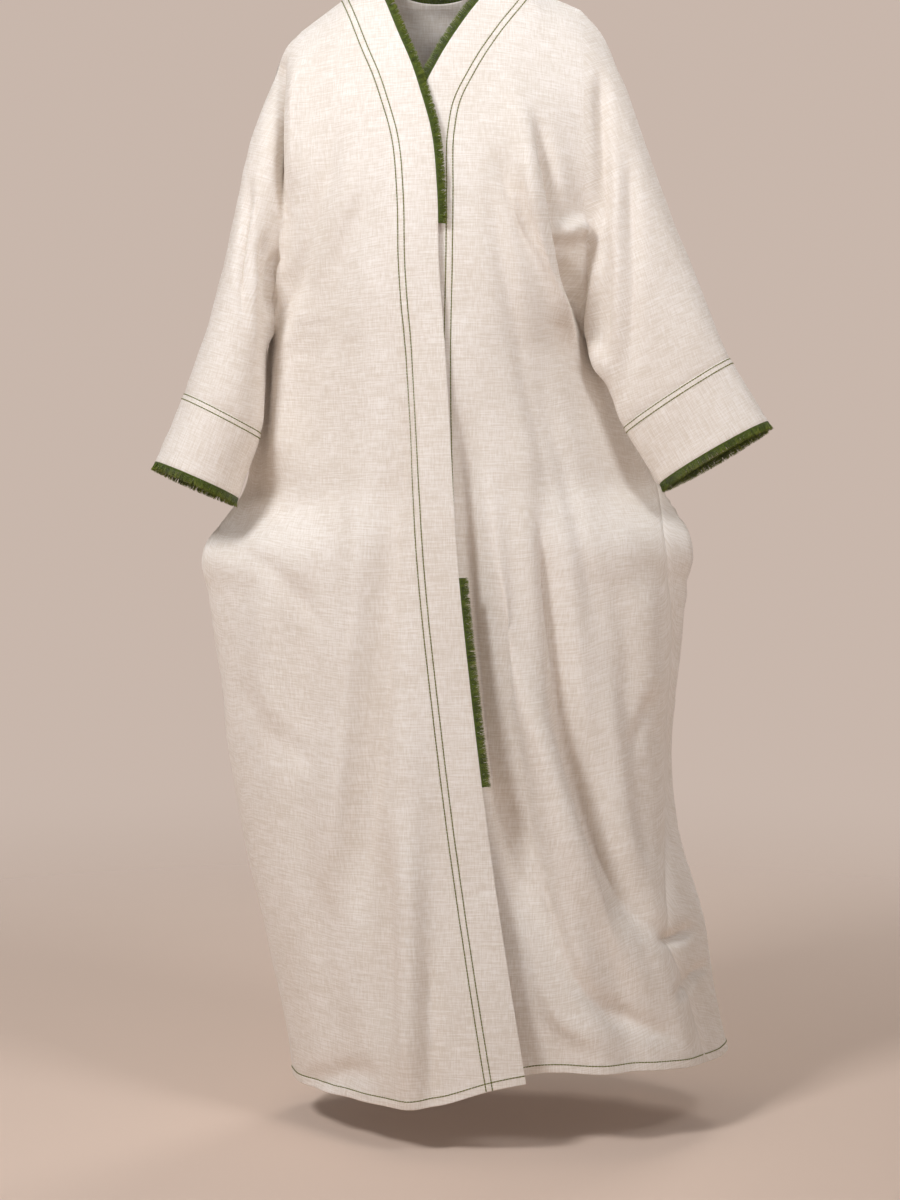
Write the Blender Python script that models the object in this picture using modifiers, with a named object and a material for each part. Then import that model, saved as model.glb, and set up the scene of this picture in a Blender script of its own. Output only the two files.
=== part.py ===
"""An open-front abaya cloak with grown-on sleeves, hollow and standing as it is worn.

The front faces -Y and the wearer's left is +X. The origin is on the shoulders at the
base of the neck. Every panel is a single wall of cloth, drawn as its inner face and
thickened outwards. The pieces are the two fronts (each with the front half of its
sleeve), the back (with both back halves), a deep cuff band on each sleeve, and the
fringed trim at the neck, the front opening and the cuffs.
"""

import math
from collections import namedtuple

import bpy
import numpy as np

# Driving dimensions, in metres.
WALL = 0.0016
SEAM_GAP = 0.0003
# Within this reach of an underarm the seams stand this much wider apart, so that the
# walls of the body and the sleeve stay clear of each other in the corner.
UNDERARM_REACH = 0.020
UNDERARM_GAP = 0.0030
UNDERARM_DROP = 0.44
BACK_NECK_DIP = 0.028
TRIM_REACH = 0.011
TRIM_WALL = 0.0012
TRIM_GAP = 0.0005
TRIM_SMOOTHINGS = 2
# The heights between which each trim runs down its front edge.
UPPER_TRIM_END = -0.322
LOWER_TRIM = (-0.756, -1.020)
UNDER_TRIM_END = -0.190

# How finely the cloth is divided: rows from shoulder to underarm, rows from there to
# the hem, columns across each piece, and the points that each row is worked out from.
ARM_ROWS = 11
SKIRT_ROWS = 24
FRONT_COLUMNS = 11
BACK_COLUMNS = 20
SHOULDER_COLUMNS = 6
SLEEVE_COLUMNS = 8
CUFF_COLUMNS = 3
ROW_POINTS = 81

# Body sections, by drop below the shoulders: the side seams' X and the depths of the
# centre front and back, of the sides of the front and back surfaces, and of the side
# seams, and how round (1) or pinched (0) the sides are.
# Right and left are the wearer's: right is -X.
Section = namedtuple("Section", "drop right middle left front back side_front side_back side round")
BODY = [
    Section(0.000, -0.200, 0.000, 0.188, 0.015, 0.015, 0.010, 0.010, 0.010, 0.2),
    Section(0.010, -0.201, 0.000, 0.188, -0.012, 0.042, -0.008, 0.028, 0.010, 0.2),
    Section(0.035, -0.202, 0.000, 0.188, -0.034, 0.066, -0.024, 0.046, 0.010, 0.2),
    Section(0.080, -0.205, 0.000, 0.188, -0.060, 0.088, -0.040, 0.062, 0.010, 0.2),
    Section(0.150, -0.208, 0.000, 0.187, -0.090, 0.108, -0.055, 0.074, 0.010, 0.2),
    Section(0.240, -0.212, 0.000, 0.186, -0.119, 0.120, -0.058, 0.076, 0.010, 0.3),
    Section(0.340, -0.218, 0.000, 0.184, -0.132, 0.125, -0.042, 0.062, 0.012, 0.3),
    Section(0.440, -0.223, 0.000, 0.180, -0.137, 0.125, -0.012, 0.038, 0.012, 0.2),
    Section(0.470, -0.229, 0.000, 0.187, -0.139, 0.125, 0.006, 0.038, 0.028, 0.1),
    Section(0.500, -0.236, 0.000, 0.200, -0.140, 0.124, 0.018, 0.040, 0.034, 0.1),
    Section(0.560, -0.244, 0.000, 0.229, -0.143, 0.124, 0.032, 0.040, 0.037, 0.0),
    Section(0.620, -0.253, 0.002, 0.256, -0.146, 0.125, 0.036, 0.038, 0.037, 0.0),
    Section(0.660, -0.264, 0.004, 0.278, -0.148, 0.126, 0.038, 0.038, 0.038, 0.0),
    Section(0.690, -0.284, 0.005, 0.298, -0.150, 0.128, 0.022, 0.022, 0.022, 0.1),
    Section(0.725, -0.309, 0.006, 0.317, -0.151, 0.130, -0.012, -0.012, -0.012, 0.1),
    Section(0.790, -0.305, 0.008, 0.312, -0.154, 0.134, -0.015, -0.015, -0.015, 0.3),
    Section(0.900, -0.290, 0.014, 0.302, -0.160, 0.141, -0.011, -0.011, -0.011, 0.5),
    Section(1.000, -0.280, 0.022, 0.294, -0.167, 0.148, -0.007, -0.007, -0.007, 0.6),
    Section(1.120, -0.259, 0.034, 0.302, -0.178, 0.156, -0.004, -0.004, -0.004, 0.7),
    Section(1.240, -0.231, 0.048, 0.336, -0.194, 0.165, -0.002, -0.002, -0.002, 0.8),
    Section(1.330, -0.212, 0.058, 0.350, -0.208, 0.171, 0.000, 0.000, 0.000, 0.8),
    Section(1.420, -0.198, 0.066, 0.369, -0.220, 0.176, 0.001, 0.001, 0.001, 0.8),
]

# The edges of the fronts, by height: the lapping front's edge, the under front's edge,
# and how far the under front is set back behind the lapping one.
Edge = namedtuple("Edge", "z lap under setback")
EDGES = [
    Edge(0.000, -0.092, 0.068, 0.000),
    Edge(-0.030, -0.078, 0.046, 0.000),
    Edge(-0.075, -0.060, 0.014, 0.000),
    Edge(-0.121, -0.041, -0.013, 0.003),
    Edge(-0.159, -0.029, -0.031, 0.006),
    Edge(-0.195, -0.019, -0.038, 0.007),
    Edge(-0.279, -0.010, -0.040, 0.008),
    Edge(-0.363, -0.008, -0.041, 0.009),
    Edge(-0.475, 0.000, -0.043, 0.010),
    Edge(-0.598, 0.007, -0.042, 0.011),
    Edge(-0.734, 0.015, -0.038, 0.012),
    Edge(-0.902, 0.032, -0.030, 0.014),
    Edge(-1.080, 0.054, -0.018, 0.020),
    Edge(-1.249, 0.079, 0.000, 0.032),
    Edge(-1.390, 0.102, 0.020, 0.046),
]
# The width over which the under front comes back level beyond the lapping front's edge.
SETBACK_FADE = 0.110
# The share of a row's half width from which it turns to meet the armhole.
JOIN_START = 0.55

# How far inside the garment's left side, in X, its side seam comes round to the front.
SideSeam = namedtuple("SideSeam", "drop inset")
SIDE_SEAM = [
    SideSeam(0.440, 0.000),
    SideSeam(0.620, 0.000),
    SideSeam(0.660, 0.004),
    SideSeam(0.690, 0.020),
    SideSeam(0.725, 0.038),
    SideSeam(0.760, 0.034),
    SideSeam(0.810, 0.022),
    SideSeam(0.880, 0.014),
    SideSeam(0.970, 0.010),
    SideSeam(1.060, 0.010),
    SideSeam(1.120, 0.020),
    SideSeam(1.220, 0.050),
    SideSeam(1.260, 0.056),
    SideSeam(1.310, 0.044),
    SideSeam(1.420, 0.036),
]

# Sleeve rings along each arm: the outer (upper seam) and inner (lower seam) points,
# the Y of the ring's seams, how far it bulges to the front and back of them, and how
# far its front stands above its back.
Ring = namedtuple("Ring", "along outer_x outer_z inner_x inner_z depth front back lean")
SLEEVES = {
    "right": [
        Ring(0.00, -0.182, -0.068, -0.223, -0.440, 0.012, 0.066, 0.072, 0.000),
        Ring(0.06, -0.204, -0.092, -0.224, -0.443, 0.010, 0.067, 0.072, 0.000),
        Ring(0.14, -0.221, -0.134, -0.225, -0.448, 0.006, 0.067, 0.071, 0.000),
        Ring(0.28, -0.243, -0.195, -0.227, -0.458, -0.002, 0.066, 0.070, 0.001),
        Ring(0.50, -0.270, -0.315, -0.230, -0.482, -0.014, 0.066, 0.066, 0.002),
        Ring(0.72, -0.304, -0.450, -0.232, -0.532, -0.026, 0.063, 0.063, 0.004),
        Ring(0.85, -0.331, -0.529, -0.236, -0.578, -0.032, 0.062, 0.062, 0.006),
        Ring(1.00, -0.367, -0.617, -0.266, -0.661, -0.040, 0.060, 0.060, 0.008),
    ],
    "left": [
        Ring(0.00, 0.172, -0.042, 0.180, -0.440, 0.012, 0.066, 0.072, 0.000),
        Ring(0.06, 0.200, -0.072, 0.185, -0.441, 0.010, 0.066, 0.072, 0.000),
        Ring(0.14, 0.223, -0.124, 0.188, -0.446, 0.006, 0.066, 0.071, 0.000),
        Ring(0.28, 0.249, -0.200, 0.190, -0.459, -0.002, 0.064, 0.068, 0.001),
        Ring(0.50, 0.302, -0.339, 0.192, -0.484, -0.014, 0.056, 0.060, 0.003),
        Ring(0.72, 0.344, -0.443, 0.211, -0.528, -0.026, 0.044, 0.050, 0.005),
        Ring(0.85, 0.362, -0.484, 0.228, -0.571, -0.032, 0.037, 0.042, 0.007),
        Ring(1.00, 0.409, -0.566, 0.275, -0.643, -0.038, 0.034, 0.038, 0.009),
    ],
}
# Where along the sleeve the cuff band begins.
CUFF_START = 0.85
# Over 1, the sleeve's columns crowd towards the armhole.
RING_SPREAD = 1.3

# The hem's height across the garment.
Hem = namedtuple("Hem", "x z")
HEM = [
    Hem(-0.200, -1.418),
    Hem(-0.100, -1.415),
    Hem(-0.020, -1.410),
    Hem(0.060, -1.385),
    Hem(0.110, -1.376),
    Hem(0.240, -1.375),
    Hem(0.370, -1.385),
]

# The largest folds, as lines in the front view: a height above zero is a ridge
# and below zero a trough.
Fold = namedtuple("Fold", "x0 z0 x1 z1 half_width height")
FRONT_FOLDS = [
    Fold(-0.080, -0.200, -0.185, -0.470, 0.030, -0.007),
    Fold(-0.115, -0.340, -0.200, -0.640, 0.030, -0.006),
    Fold(-0.120, -0.560, -0.110, -1.240, 0.045, -0.009),
    Fold(-0.050, -0.900, -0.045, -1.440, 0.040, 0.011),
    Fold(-0.165, -1.120, -0.120, -1.440, 0.035, -0.012),
    Fold(0.095, -0.180, 0.205, -0.560, 0.022, 0.011),
    Fold(0.070, -0.230, 0.150, -0.430, 0.024, -0.007),
    Fold(0.075, -0.760, 0.105, -1.180, 0.026, -0.012),
    Fold(0.110, -0.620, 0.160, -1.240, 0.032, 0.009),
    Fold(0.130, -0.880, 0.250, -1.440, 0.034, -0.013),
    Fold(0.230, -0.780, 0.320, -1.440, 0.034, 0.008),
]
BACK_FOLDS = [
    Fold(-0.080, -0.300, -0.120, -1.440, 0.045, -0.012),
    Fold(-0.160, -0.700, -0.170, -1.440, 0.035, 0.010),
    Fold(-0.010, -0.260, -0.015, -1.440, 0.050, 0.012),
    Fold(0.070, -0.360, 0.085, -1.440, 0.042, -0.013),
    Fold(0.150, -0.620, 0.190, -1.440, 0.040, 0.011),
    Fold(0.240, -0.820, 0.290, -1.440, 0.035, -0.010),
]
# The hollows between body and sleeve, where the cloth sinks this share of the way to
# the depth below.
Hollow = namedtuple("Hollow", "x0 z0 x1 z1 half_width share")
HOLLOWS = [
    Hollow(-0.206, -0.300, -0.222, -0.480, 0.016, 0.70),
    Hollow(0.172, -0.310, 0.182, -0.480, 0.022, 0.75),
]
HOLLOW_DEPTH = 0.014
# The part of a fold's length over which it dies out at each end.
FOLD_TAIL = 0.25
# Folds die out over this distance from a seam.
FOLD_FADE = 0.035
# The cloth is smoothed this many times within this distance of an armhole.
SMOOTH_REACH = 0.055
SMOOTH_ROUNDS = 5

LINEN_COLOUR = (0.80, 0.72, 0.62)
LINEN_ROUGHNESS = 0.85
FRINGE_COLOUR = (0.08, 0.15, 0.02)
FRINGE_ROUGHNESS = 0.90


def clear_scene():
    for item in list(bpy.data.objects):
        bpy.data.objects.remove(item, do_unlink=True)


def follow(table, key, column, at):
    """A smooth curve through one column of a table, read at the given keys."""
    rows = sorted(table, key=lambda row: getattr(row, key))
    keys = np.array([getattr(row, key) for row in rows])
    values = np.array([getattr(row, column) for row in rows])
    slopes = np.gradient(values, keys)
    at = np.clip(at, keys[0], keys[-1])
    i = np.clip(np.searchsorted(keys, at) - 1, 0, len(keys) - 2)
    step = keys[i + 1] - keys[i]
    t = (at - keys[i]) / step
    return (
        values[i] * (1 + 2 * t) * (1 - t) ** 2
        + slopes[i] * step * t * (1 - t) ** 2
        + values[i + 1] * t**2 * (3 - 2 * t)
        - slopes[i + 1] * step * t**2 * (1 - t)
    )


def ease(t):
    t = np.clip(t, 0, 1)
    return t * t * (3 - 2 * t)


def unit(vectors):
    return vectors / np.linalg.norm(vectors, axis=-1, keepdims=True)


def ring_point(side, along, turn):
    """A point on a sleeve: turn 0 is the upper seam, +pi/2 the front, -pi/2 the back."""
    read = {name: follow(SLEEVES[side], "along", name, along) for name in Ring._fields[1:]}
    share = (1 - np.cos(turn)) / 2
    rise = np.sin(turn)
    reach = np.where(rise > 0, read["front"], read["back"])
    x = read["outer_x"] + (read["inner_x"] - read["outer_x"]) * share
    z = read["outer_z"] + (read["inner_z"] - read["outer_z"]) * share + read["lean"] * rise
    return np.stack([x, read["depth"] - reach * rise, z], axis=-1)


def row_ends(face, row):
    """The drop of one body row, and its end points at the armholes or the side seams."""
    if row <= ARM_ROWS:
        turn = math.pi * row / ARM_ROWS
        drop = UNDERARM_DROP * (1 - math.cos(turn)) / 2
        sign = 1 if face == "front" else -1
        return drop, ring_point("right", 0.0, sign * turn), ring_point("left", 0.0, sign * turn)
    share = (row - ARM_ROWS) / SKIRT_ROWS
    drop = UNDERARM_DROP + (BODY[-1].drop - UNDERARM_DROP) * share
    ends = []
    for side in ("right", "left"):
        x = float(follow(BODY, "drop", side, drop))
        y = float(follow(BODY, "drop", "side", drop))
        ends.append(np.array([x, y, float(skirt_height(x, share))]))
    return drop, *ends


def skirt_height(x, share):
    """The height of a skirt row at x: level under the arms, and along the hem at the bottom."""
    return -UNDERARM_DROP * (1 - share) + follow(HEM, "x", "z", x) * share


def body_depth(face, x, drop, right, left):
    """How far forward or back the body stands at x, on the row between two end points."""
    middle = follow(BODY, "drop", "middle", drop)
    power = 1 - follow(BODY, "drop", "round", drop) / 2
    side = follow(BODY, "drop", "side_" + face, drop)
    end_x = np.where(x < middle, right[0], left[0])
    end_y = np.where(x < middle, right[1], left[1])
    out = np.clip((x - middle) / (end_x - middle), 0, 1)
    section = side + (follow(BODY, "drop", face, drop) - side) * (1 - out**2) ** power
    return section + (end_y - side) * ease((out - JOIN_START) / (1 - JOIN_START)) ** 2


def lengths_along(line):
    """How far along a line each of its points lies."""
    return np.concatenate([[0], np.cumsum(np.linalg.norm(np.diff(line, axis=0), axis=1))])


def even_points(line, count):
    """The points that divide a line into count equal lengths."""
    length = lengths_along(line)
    at = np.linspace(0, length[-1], count + 1)
    return np.stack([np.interp(at, length, line[:, axis]) for axis in range(3)], axis=1)


def near_end(start, end):
    """Places from start to end that crowd towards the end, where a section turns round."""
    return start + (end - start) * np.sin(np.linspace(0, math.pi / 2, ROW_POINTS))


def front_line(side, row):
    """One row of a front surface, from its front edge out to the armhole or the side."""
    column = "lap" if side == "right" else "under"
    drop, right, left = row_ends("front", row)
    end = right if side == "right" else left
    start_z = -drop
    start_x = follow(EDGES, "z", column, start_z)
    if row > ARM_ROWS:
        start_z = skirt_height(start_x, (row - ARM_ROWS) / SKIRT_ROWS)
        start_x = follow(EDGES, "z", column, start_z)
    x = near_end(start_x, end[0])
    if row > ARM_ROWS:
        z = skirt_height(x, (row - ARM_ROWS) / SKIRT_ROWS)
    else:
        z = start_z + (end[2] - start_z) * (x - start_x) / (end[0] - start_x)
    y = body_depth("front", x, drop, right, left)
    if side == "left":
        covered = 1 - ease((x - follow(EDGES, "z", "lap", z) - TRIM_REACH) / SETBACK_FADE)
        y = y + follow(EDGES, "z", "setback", z) * covered
    return np.stack([x, y, z], axis=1)


def side_seam_point(row):
    """The front surface's left side on one row, and where the side seam crosses it."""
    line = front_line("left", row)
    drop = row_ends("front", row)[0]
    seam_x = line[-1, 0] - follow(SIDE_SEAM, "drop", "inset", drop)
    seam = np.array([np.interp(seam_x, line[:, 0], line[:, axis]) for axis in range(3)])
    return line, seam


def front_row(side, row):
    """One row of a front, from its front edge out to the armhole or the side seam."""
    if side == "right" or row <= ARM_ROWS:
        return even_points(front_line(side, row), FRONT_COLUMNS)
    line, seam = side_seam_point(row)
    kept = line[line[:, 0] < seam[0]]
    return even_points(np.concatenate([kept, seam[None]]), FRONT_COLUMNS)


def turned_row(row):
    """What the back adds to one row where it comes round the left side to the seam."""
    if row <= ARM_ROWS:
        return np.empty((0, 3))
    line, seam = side_seam_point(row)
    beyond = line[line[:, 0] > seam[0]][:-1]
    return np.concatenate([beyond[::-1], seam[None]])


def back_row(row):
    """One row of the back, from side to side, below the curve of the back neck."""
    drop, right, left = row_ends("back", row)
    middle = float(follow(BODY, "drop", "middle", drop))
    x = np.concatenate([near_end(middle, right[0])[::-1], near_end(middle, left[0])[1:]])
    x = np.sort(np.concatenate([x, [EDGES[0].lap, EDGES[0].under]]))
    if row > ARM_ROWS:
        z = skirt_height(x, (row - ARM_ROWS) / SKIRT_ROWS)
        drops = np.full_like(x, drop)
    else:
        centre = (EDGES[0].lap + EDGES[0].under) / 2
        half = (EDGES[0].under - EDGES[0].lap) / 2
        dip = BACK_NECK_DIP * np.maximum(1 - ((x - centre) / half) ** 2, 0)
        drops = drop + dip * (1 - drop / UNDERARM_DROP)
        beyond_right = np.maximum(EDGES[0].lap - x, 0) / (EDGES[0].lap - right[0])
        beyond_left = np.maximum(x - EDGES[0].under, 0) / (left[0] - EDGES[0].under)
        z = -drops + (right[2] + drop) * beyond_right + (left[2] + drop) * beyond_left
    line = np.stack([x, body_depth("back", x, drops, right, left), z], axis=1)
    # The columns that start at the neck's two ends drift to even spacing by the underarm.
    even = np.array([SHOULDER_COLUMNS, BACK_COLUMNS - SHOULDER_COLUMNS]) / BACK_COLUMNS
    length = lengths_along(line)
    at_neck = np.interp([EDGES[0].lap, EDGES[0].under], x, length / length[-1])
    share = min(row / ARM_ROWS, 1)
    splits = np.interp(at_neck + (even - at_neck) * share, length / length[-1], x)
    ends = np.array([np.interp(splits, x, line[:, axis]) for axis in range(3)]).T
    inner = line[(x > splits[0]) & (x < splits[1])]
    turned = turned_row(row)
    middle_part = np.concatenate([ends[:1], inner, ends[1:]])
    parts = [
        even_points(np.concatenate([line[x < splits[0]], ends[:1]]), SHOULDER_COLUMNS),
        even_points(middle_part, BACK_COLUMNS - 2 * SHOULDER_COLUMNS)[1:],
        even_points(np.concatenate([ends[1:], line[x > splits[1]], turned]), SHOULDER_COLUMNS)[1:],
    ]
    return np.concatenate(parts)


def sleeve_part(side, face):
    """The front or back half of a sleeve: a row for each turn, a column for each ring."""
    turns = np.linspace(0, math.pi, ARM_ROWS + 1) * (1 if face == "front" else -1)
    alongs = CUFF_START * np.linspace(0, 1, SLEEVE_COLUMNS + 1) ** RING_SPREAD
    along, turn = np.meshgrid(alongs, turns)
    return ring_point(side, along, turn)


def line_weight(points, line):
    """1 on a line in the front view, falling smoothly to 0 at its half width and ends."""
    start = np.array([line.x0, line.z0])
    along = np.array([line.x1, line.z1]) - start
    length = np.linalg.norm(along)
    along = along / length
    offset = points[:, [0, 2]] - start
    down = offset @ along
    out = offset @ np.array([along[1], -along[0]])
    fade = FOLD_TAIL * length
    ends = ease((down + fade) / (2 * fade)) * ease((length + fade - down) / (2 * fade))
    return np.exp(-2 * (out / line.half_width) ** 2) * ends


class Panel:
    """A sheet of cloth: its points and quads, its sewn edges, its free rims, and the edge
    that carries the trim with the line of points just behind it."""

    def __init__(self, points, quads, seams, rims, behind):
        self.points = points
        self.quads = quads
        self.seams = seams
        self.rims = rims
        self.behind = behind

    def sink(self, face):
        """Sets in the hollows under the arms and then the folds, clear of the seams."""
        sewn = self.points[np.unique(np.concatenate(self.seams))]
        gaps = np.linalg.norm(self.points[:, None] - sewn[None], axis=2).min(axis=1)
        free = ease(gaps / FOLD_FADE)
        for hollow in HOLLOWS:
            share = hollow.share * line_weight(self.points, hollow) * free
            self.points[:, 1] += (HOLLOW_DEPTH - self.points[:, 1]) * share
        sign = -1 if face == "front" else 1
        for fold in FRONT_FOLDS if face == "front" else BACK_FOLDS:
            self.points[:, 1] += sign * fold.height * line_weight(self.points, fold) * free

    def soften(self, lines):
        """Smooths the cloth across the lines where body and sleeve run into each other."""
        held = set(np.concatenate(self.seams + self.rims).tolist())
        middle = self.points[np.concatenate(lines)]
        gaps = np.linalg.norm(self.points[:, None] - middle[None], axis=2).min(axis=1)
        links = [[] for _ in self.points]
        for quad in self.quads:
            for i, corner in enumerate(quad):
                links[corner] += [quad[i - 1], quad[(i + 1) % 4]]
        moving = [i for i in range(len(self.points)) if gaps[i] < SMOOTH_REACH and i not in held]
        for _ in range(SMOOTH_ROUNDS):
            averages = [self.points[links[i]].mean(axis=0) for i in moving]
            self.points[moving] = (self.points[moving] + np.array(averages)) / 2

    def trimmed(self):
        """The points of the trimmed edge, and those just behind it."""
        return self.points[self.rims[0]], self.points[self.behind]

    def open_seams(self, underarms):
        """Draws each sewn edge back to leave the seam's gap, a little wider under the arms."""
        sewn = np.unique(np.concatenate(self.seams))
        links = {int(i): set() for i in sewn}
        for quad in self.quads:
            inner = [i for i in quad if i not in links]
            for corner in quad:
                if corner in links:
                    links[corner] |= set(inner)
        moved = self.points.copy()
        for corner, inner in links.items():
            if inner:
                away = self.points[list(inner)].mean(axis=0) - self.points[corner]
                reach = np.linalg.norm(self.points[underarms] - self.points[corner], axis=1).min()
                moved[corner] += unit(away) * (SEAM_GAP + UNDERARM_GAP * (reach < UNDERARM_REACH))
        self.points = moved


def grid_quads(index, flipped):
    """The quads between neighbouring rows and columns of an array of point numbers."""
    quads = []
    for row in range(index.shape[0] - 1):
        for column in range(index.shape[1] - 1):
            quad = [
                int(index[row, column]),
                int(index[row + 1, column]),
                int(index[row + 1, column + 1]),
                int(index[row, column + 1]),
            ]
            quads.append(quad[::-1] if flipped else quad)
    return quads


def join_sleeve(points, armhole, side, face, flipped):
    """Adds a half sleeve whose first column is the body's armhole column."""
    sleeve = sleeve_part(side, face)[:, 1:]
    first = len(points)
    added = np.arange(sleeve.shape[0] * sleeve.shape[1]).reshape(sleeve.shape[:2]) + first
    index = np.column_stack([armhole, added])
    return np.concatenate([points, sleeve.reshape(-1, 3)]), index, grid_quads(index, flipped)


def front_panel(side):
    body = np.array([front_row(side, row) for row in range(ARM_ROWS + SKIRT_ROWS + 1)])
    index = np.arange(body.shape[0] * body.shape[1]).reshape(body.shape[:2])
    flipped = side == "right"
    quads = grid_quads(index, flipped)
    armhole = index[: ARM_ROWS + 1, -1]
    points, sleeve, more = join_sleeve(body.reshape(-1, 3), armhole, side, "front", flipped)
    seams = [index[0], index[ARM_ROWS:, -1], sleeve[0], sleeve[-1]]
    rims = [index[:, 0], index[-1], sleeve[:, -1]]
    panel = Panel(points, quads + more, seams, rims, index[:, 1])
    panel.sink("front")
    panel.soften([armhole])
    panel.open_seams(armhole[-1:])
    return panel


def back_panel():
    body = np.array([back_row(row) for row in range(ARM_ROWS + SKIRT_ROWS + 1)])
    index = np.arange(body.shape[0] * body.shape[1]).reshape(body.shape[:2])
    quads = grid_quads(index, True)
    armholes = [index[: ARM_ROWS + 1, 0], index[: ARM_ROWS + 1, -1]]
    points, right, more_right = join_sleeve(
        body.reshape(-1, 3), armholes[0], "right", "back", False
    )
    points, left, more_left = join_sleeve(points, armholes[1], "left", "back", True)
    neck_end = BACK_COLUMNS - SHOULDER_COLUMNS
    seams = [index[0, : SHOULDER_COLUMNS + 1], index[0, neck_end:]]
    seams += [index[ARM_ROWS:, 0], index[ARM_ROWS:, -1]]
    seams += [left[0], left[-1], right[0], right[-1]]
    neck = slice(SHOULDER_COLUMNS, neck_end + 1)
    rims = [index[0, neck], index[-1], left[:, -1], right[:, -1]]
    panel = Panel(points, quads + more_left + more_right, seams, rims, index[1, neck])
    panel.sink("back")
    panel.soften(armholes)
    panel.open_seams([armholes[0][-1], armholes[1][-1]])
    return panel


def cuff_strip(side, alongs):
    """Rings round a sleeve, closed: a row for each turn, a column for each ring."""
    turns = np.linspace(0, 2 * math.pi, 2 * ARM_ROWS + 1)[:-1]
    along, turn = np.meshgrid(alongs, turns)
    return ring_point(side, along, turn)


def closed_quads(rows, columns, flipped):
    index = np.arange(rows * columns).reshape(rows, columns)
    return grid_quads(np.concatenate([index, index[:1]]), flipped)


def cuff_panel(side):
    """The deep band at the end of a sleeve."""
    rings = cuff_strip(side, np.linspace(CUFF_START, 1, CUFF_COLUMNS + 1))
    rings[:, 0] += unit(rings[:, 1] - rings[:, 0]) * SEAM_GAP
    quads = closed_quads(rings.shape[0], rings.shape[1], side == "right")
    return rings.reshape(-1, 3), quads


def cuff_trim(side):
    """The fringe that stands out from the cuff's edge."""
    rings = cuff_strip(side, np.array([CUFF_START, 1]))
    out = unit(rings[:, 1] - rings[:, 0])
    strip = np.stack([rings[:, 1] + out * SEAM_GAP, rings[:, 1] + out * TRIM_REACH], axis=1)
    return strip.reshape(-1, 3), closed_quads(strip.shape[0], 2, side == "right")


def edge_part(panel, bottom, top=None):
    """A front's trimmed edge between two heights, and the line just behind it."""
    edge, behind = panel.trimmed()
    z = edge[:, 2]
    top = z[0] if top is None else top
    heights = np.concatenate([[top], z[(z < top) & (z > bottom)], [bottom]])
    parts = []
    for line in (edge, behind):
        parts.append(np.stack([np.interp(-heights, -z, line[:, axis]) for axis in range(3)], axis=1))
    return parts


def edge_strip(edge, behind, flipped):
    """A strip of trim beyond an edge, square to it and level with the cloth behind it."""
    along = unit(np.gradient(edge, axis=0))
    out = edge - behind
    out = unit(out - along * np.sum(out * along, axis=1, keepdims=True))
    for _ in range(TRIM_SMOOTHINGS):
        out[1:-1] = unit(out[:-2] + 2 * out[1:-1] + out[2:])
    strip = np.stack([edge + out * TRIM_GAP, edge + out * TRIM_REACH], axis=1)
    index = np.arange(2 * len(edge)).reshape(-1, 2)
    return strip.reshape(-1, 3), grid_quads(index, flipped)


def neck_trim(right, left, back):
    """One trim from the lapping front's chest, round the neck, to the under front's neck."""
    chest, chest_behind = edge_part(right, UPPER_TRIM_END)
    neck, neck_behind = back.trimmed()
    under, under_behind = edge_part(left, UNDER_TRIM_END)
    edge = np.concatenate([chest[::-1], neck[1:-1], under])
    behind = np.concatenate([chest_behind[::-1], neck_behind[1:-1], under_behind])
    return edge_strip(edge, behind, True)


def lower_trim(right):
    """The trim on the lapping front's edge below the waist."""
    top, bottom = LOWER_TRIM
    edge, behind = edge_part(right, bottom, top)
    return edge_strip(edge, behind, False)


def make_material(name, colour, roughness):
    material = bpy.data.materials.new(name)
    material.use_nodes = True
    shader = material.node_tree.nodes["Principled BSDF"]
    shader.inputs["Base Color"].default_value = (*colour, 1)
    shader.inputs["Roughness"].default_value = roughness
    return material


def make_object(name, points, quads, wall, material, collection):
    """A closed wall of cloth: the surface through the points, thickened outwards."""
    mesh = bpy.data.meshes.new(name)
    mesh.from_pydata(points.tolist(), [], quads)
    mesh.materials.append(material)
    mesh.shade_smooth()
    item = bpy.data.objects.new(name, mesh)
    collection.objects.link(item)
    solid = item.modifiers.new("wall", "SOLIDIFY")
    solid.thickness = wall
    solid.offset = 1
    solid.use_even_offset = False
    solid.use_quality_normals = True
    return item


def main():
    clear_scene()
    collection = bpy.data.collections.new("abaya_cloak")
    bpy.context.scene.collection.children.link(collection)
    right = front_panel("right")
    left = front_panel("left")
    back = back_panel()
    pieces = [
        ("front_right", right.points, right.quads),
        ("front_left", left.points, left.quads),
        ("back", back.points, back.quads),
        ("cuff_right", *cuff_panel("right")),
        ("cuff_left", *cuff_panel("left")),
    ]
    trims = [
        ("trim_neck", *neck_trim(right, left, back)),
        ("trim_front_lower", *lower_trim(right)),
        ("trim_cuff_right", *cuff_trim("right")),
        ("trim_cuff_left", *cuff_trim("left")),
    ]
    for name, points, quads in pieces:
        material = make_material(name + "_linen", LINEN_COLOUR, LINEN_ROUGHNESS)
        make_object(name, points, quads, WALL, material, collection)
    for name, points, quads in trims:
        material = make_material(name + "_fringe", FRINGE_COLOUR, FRINGE_ROUGHNESS)
        make_object(name, points, quads, TRIM_WALL, material, collection)


main()
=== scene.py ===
import math

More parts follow.
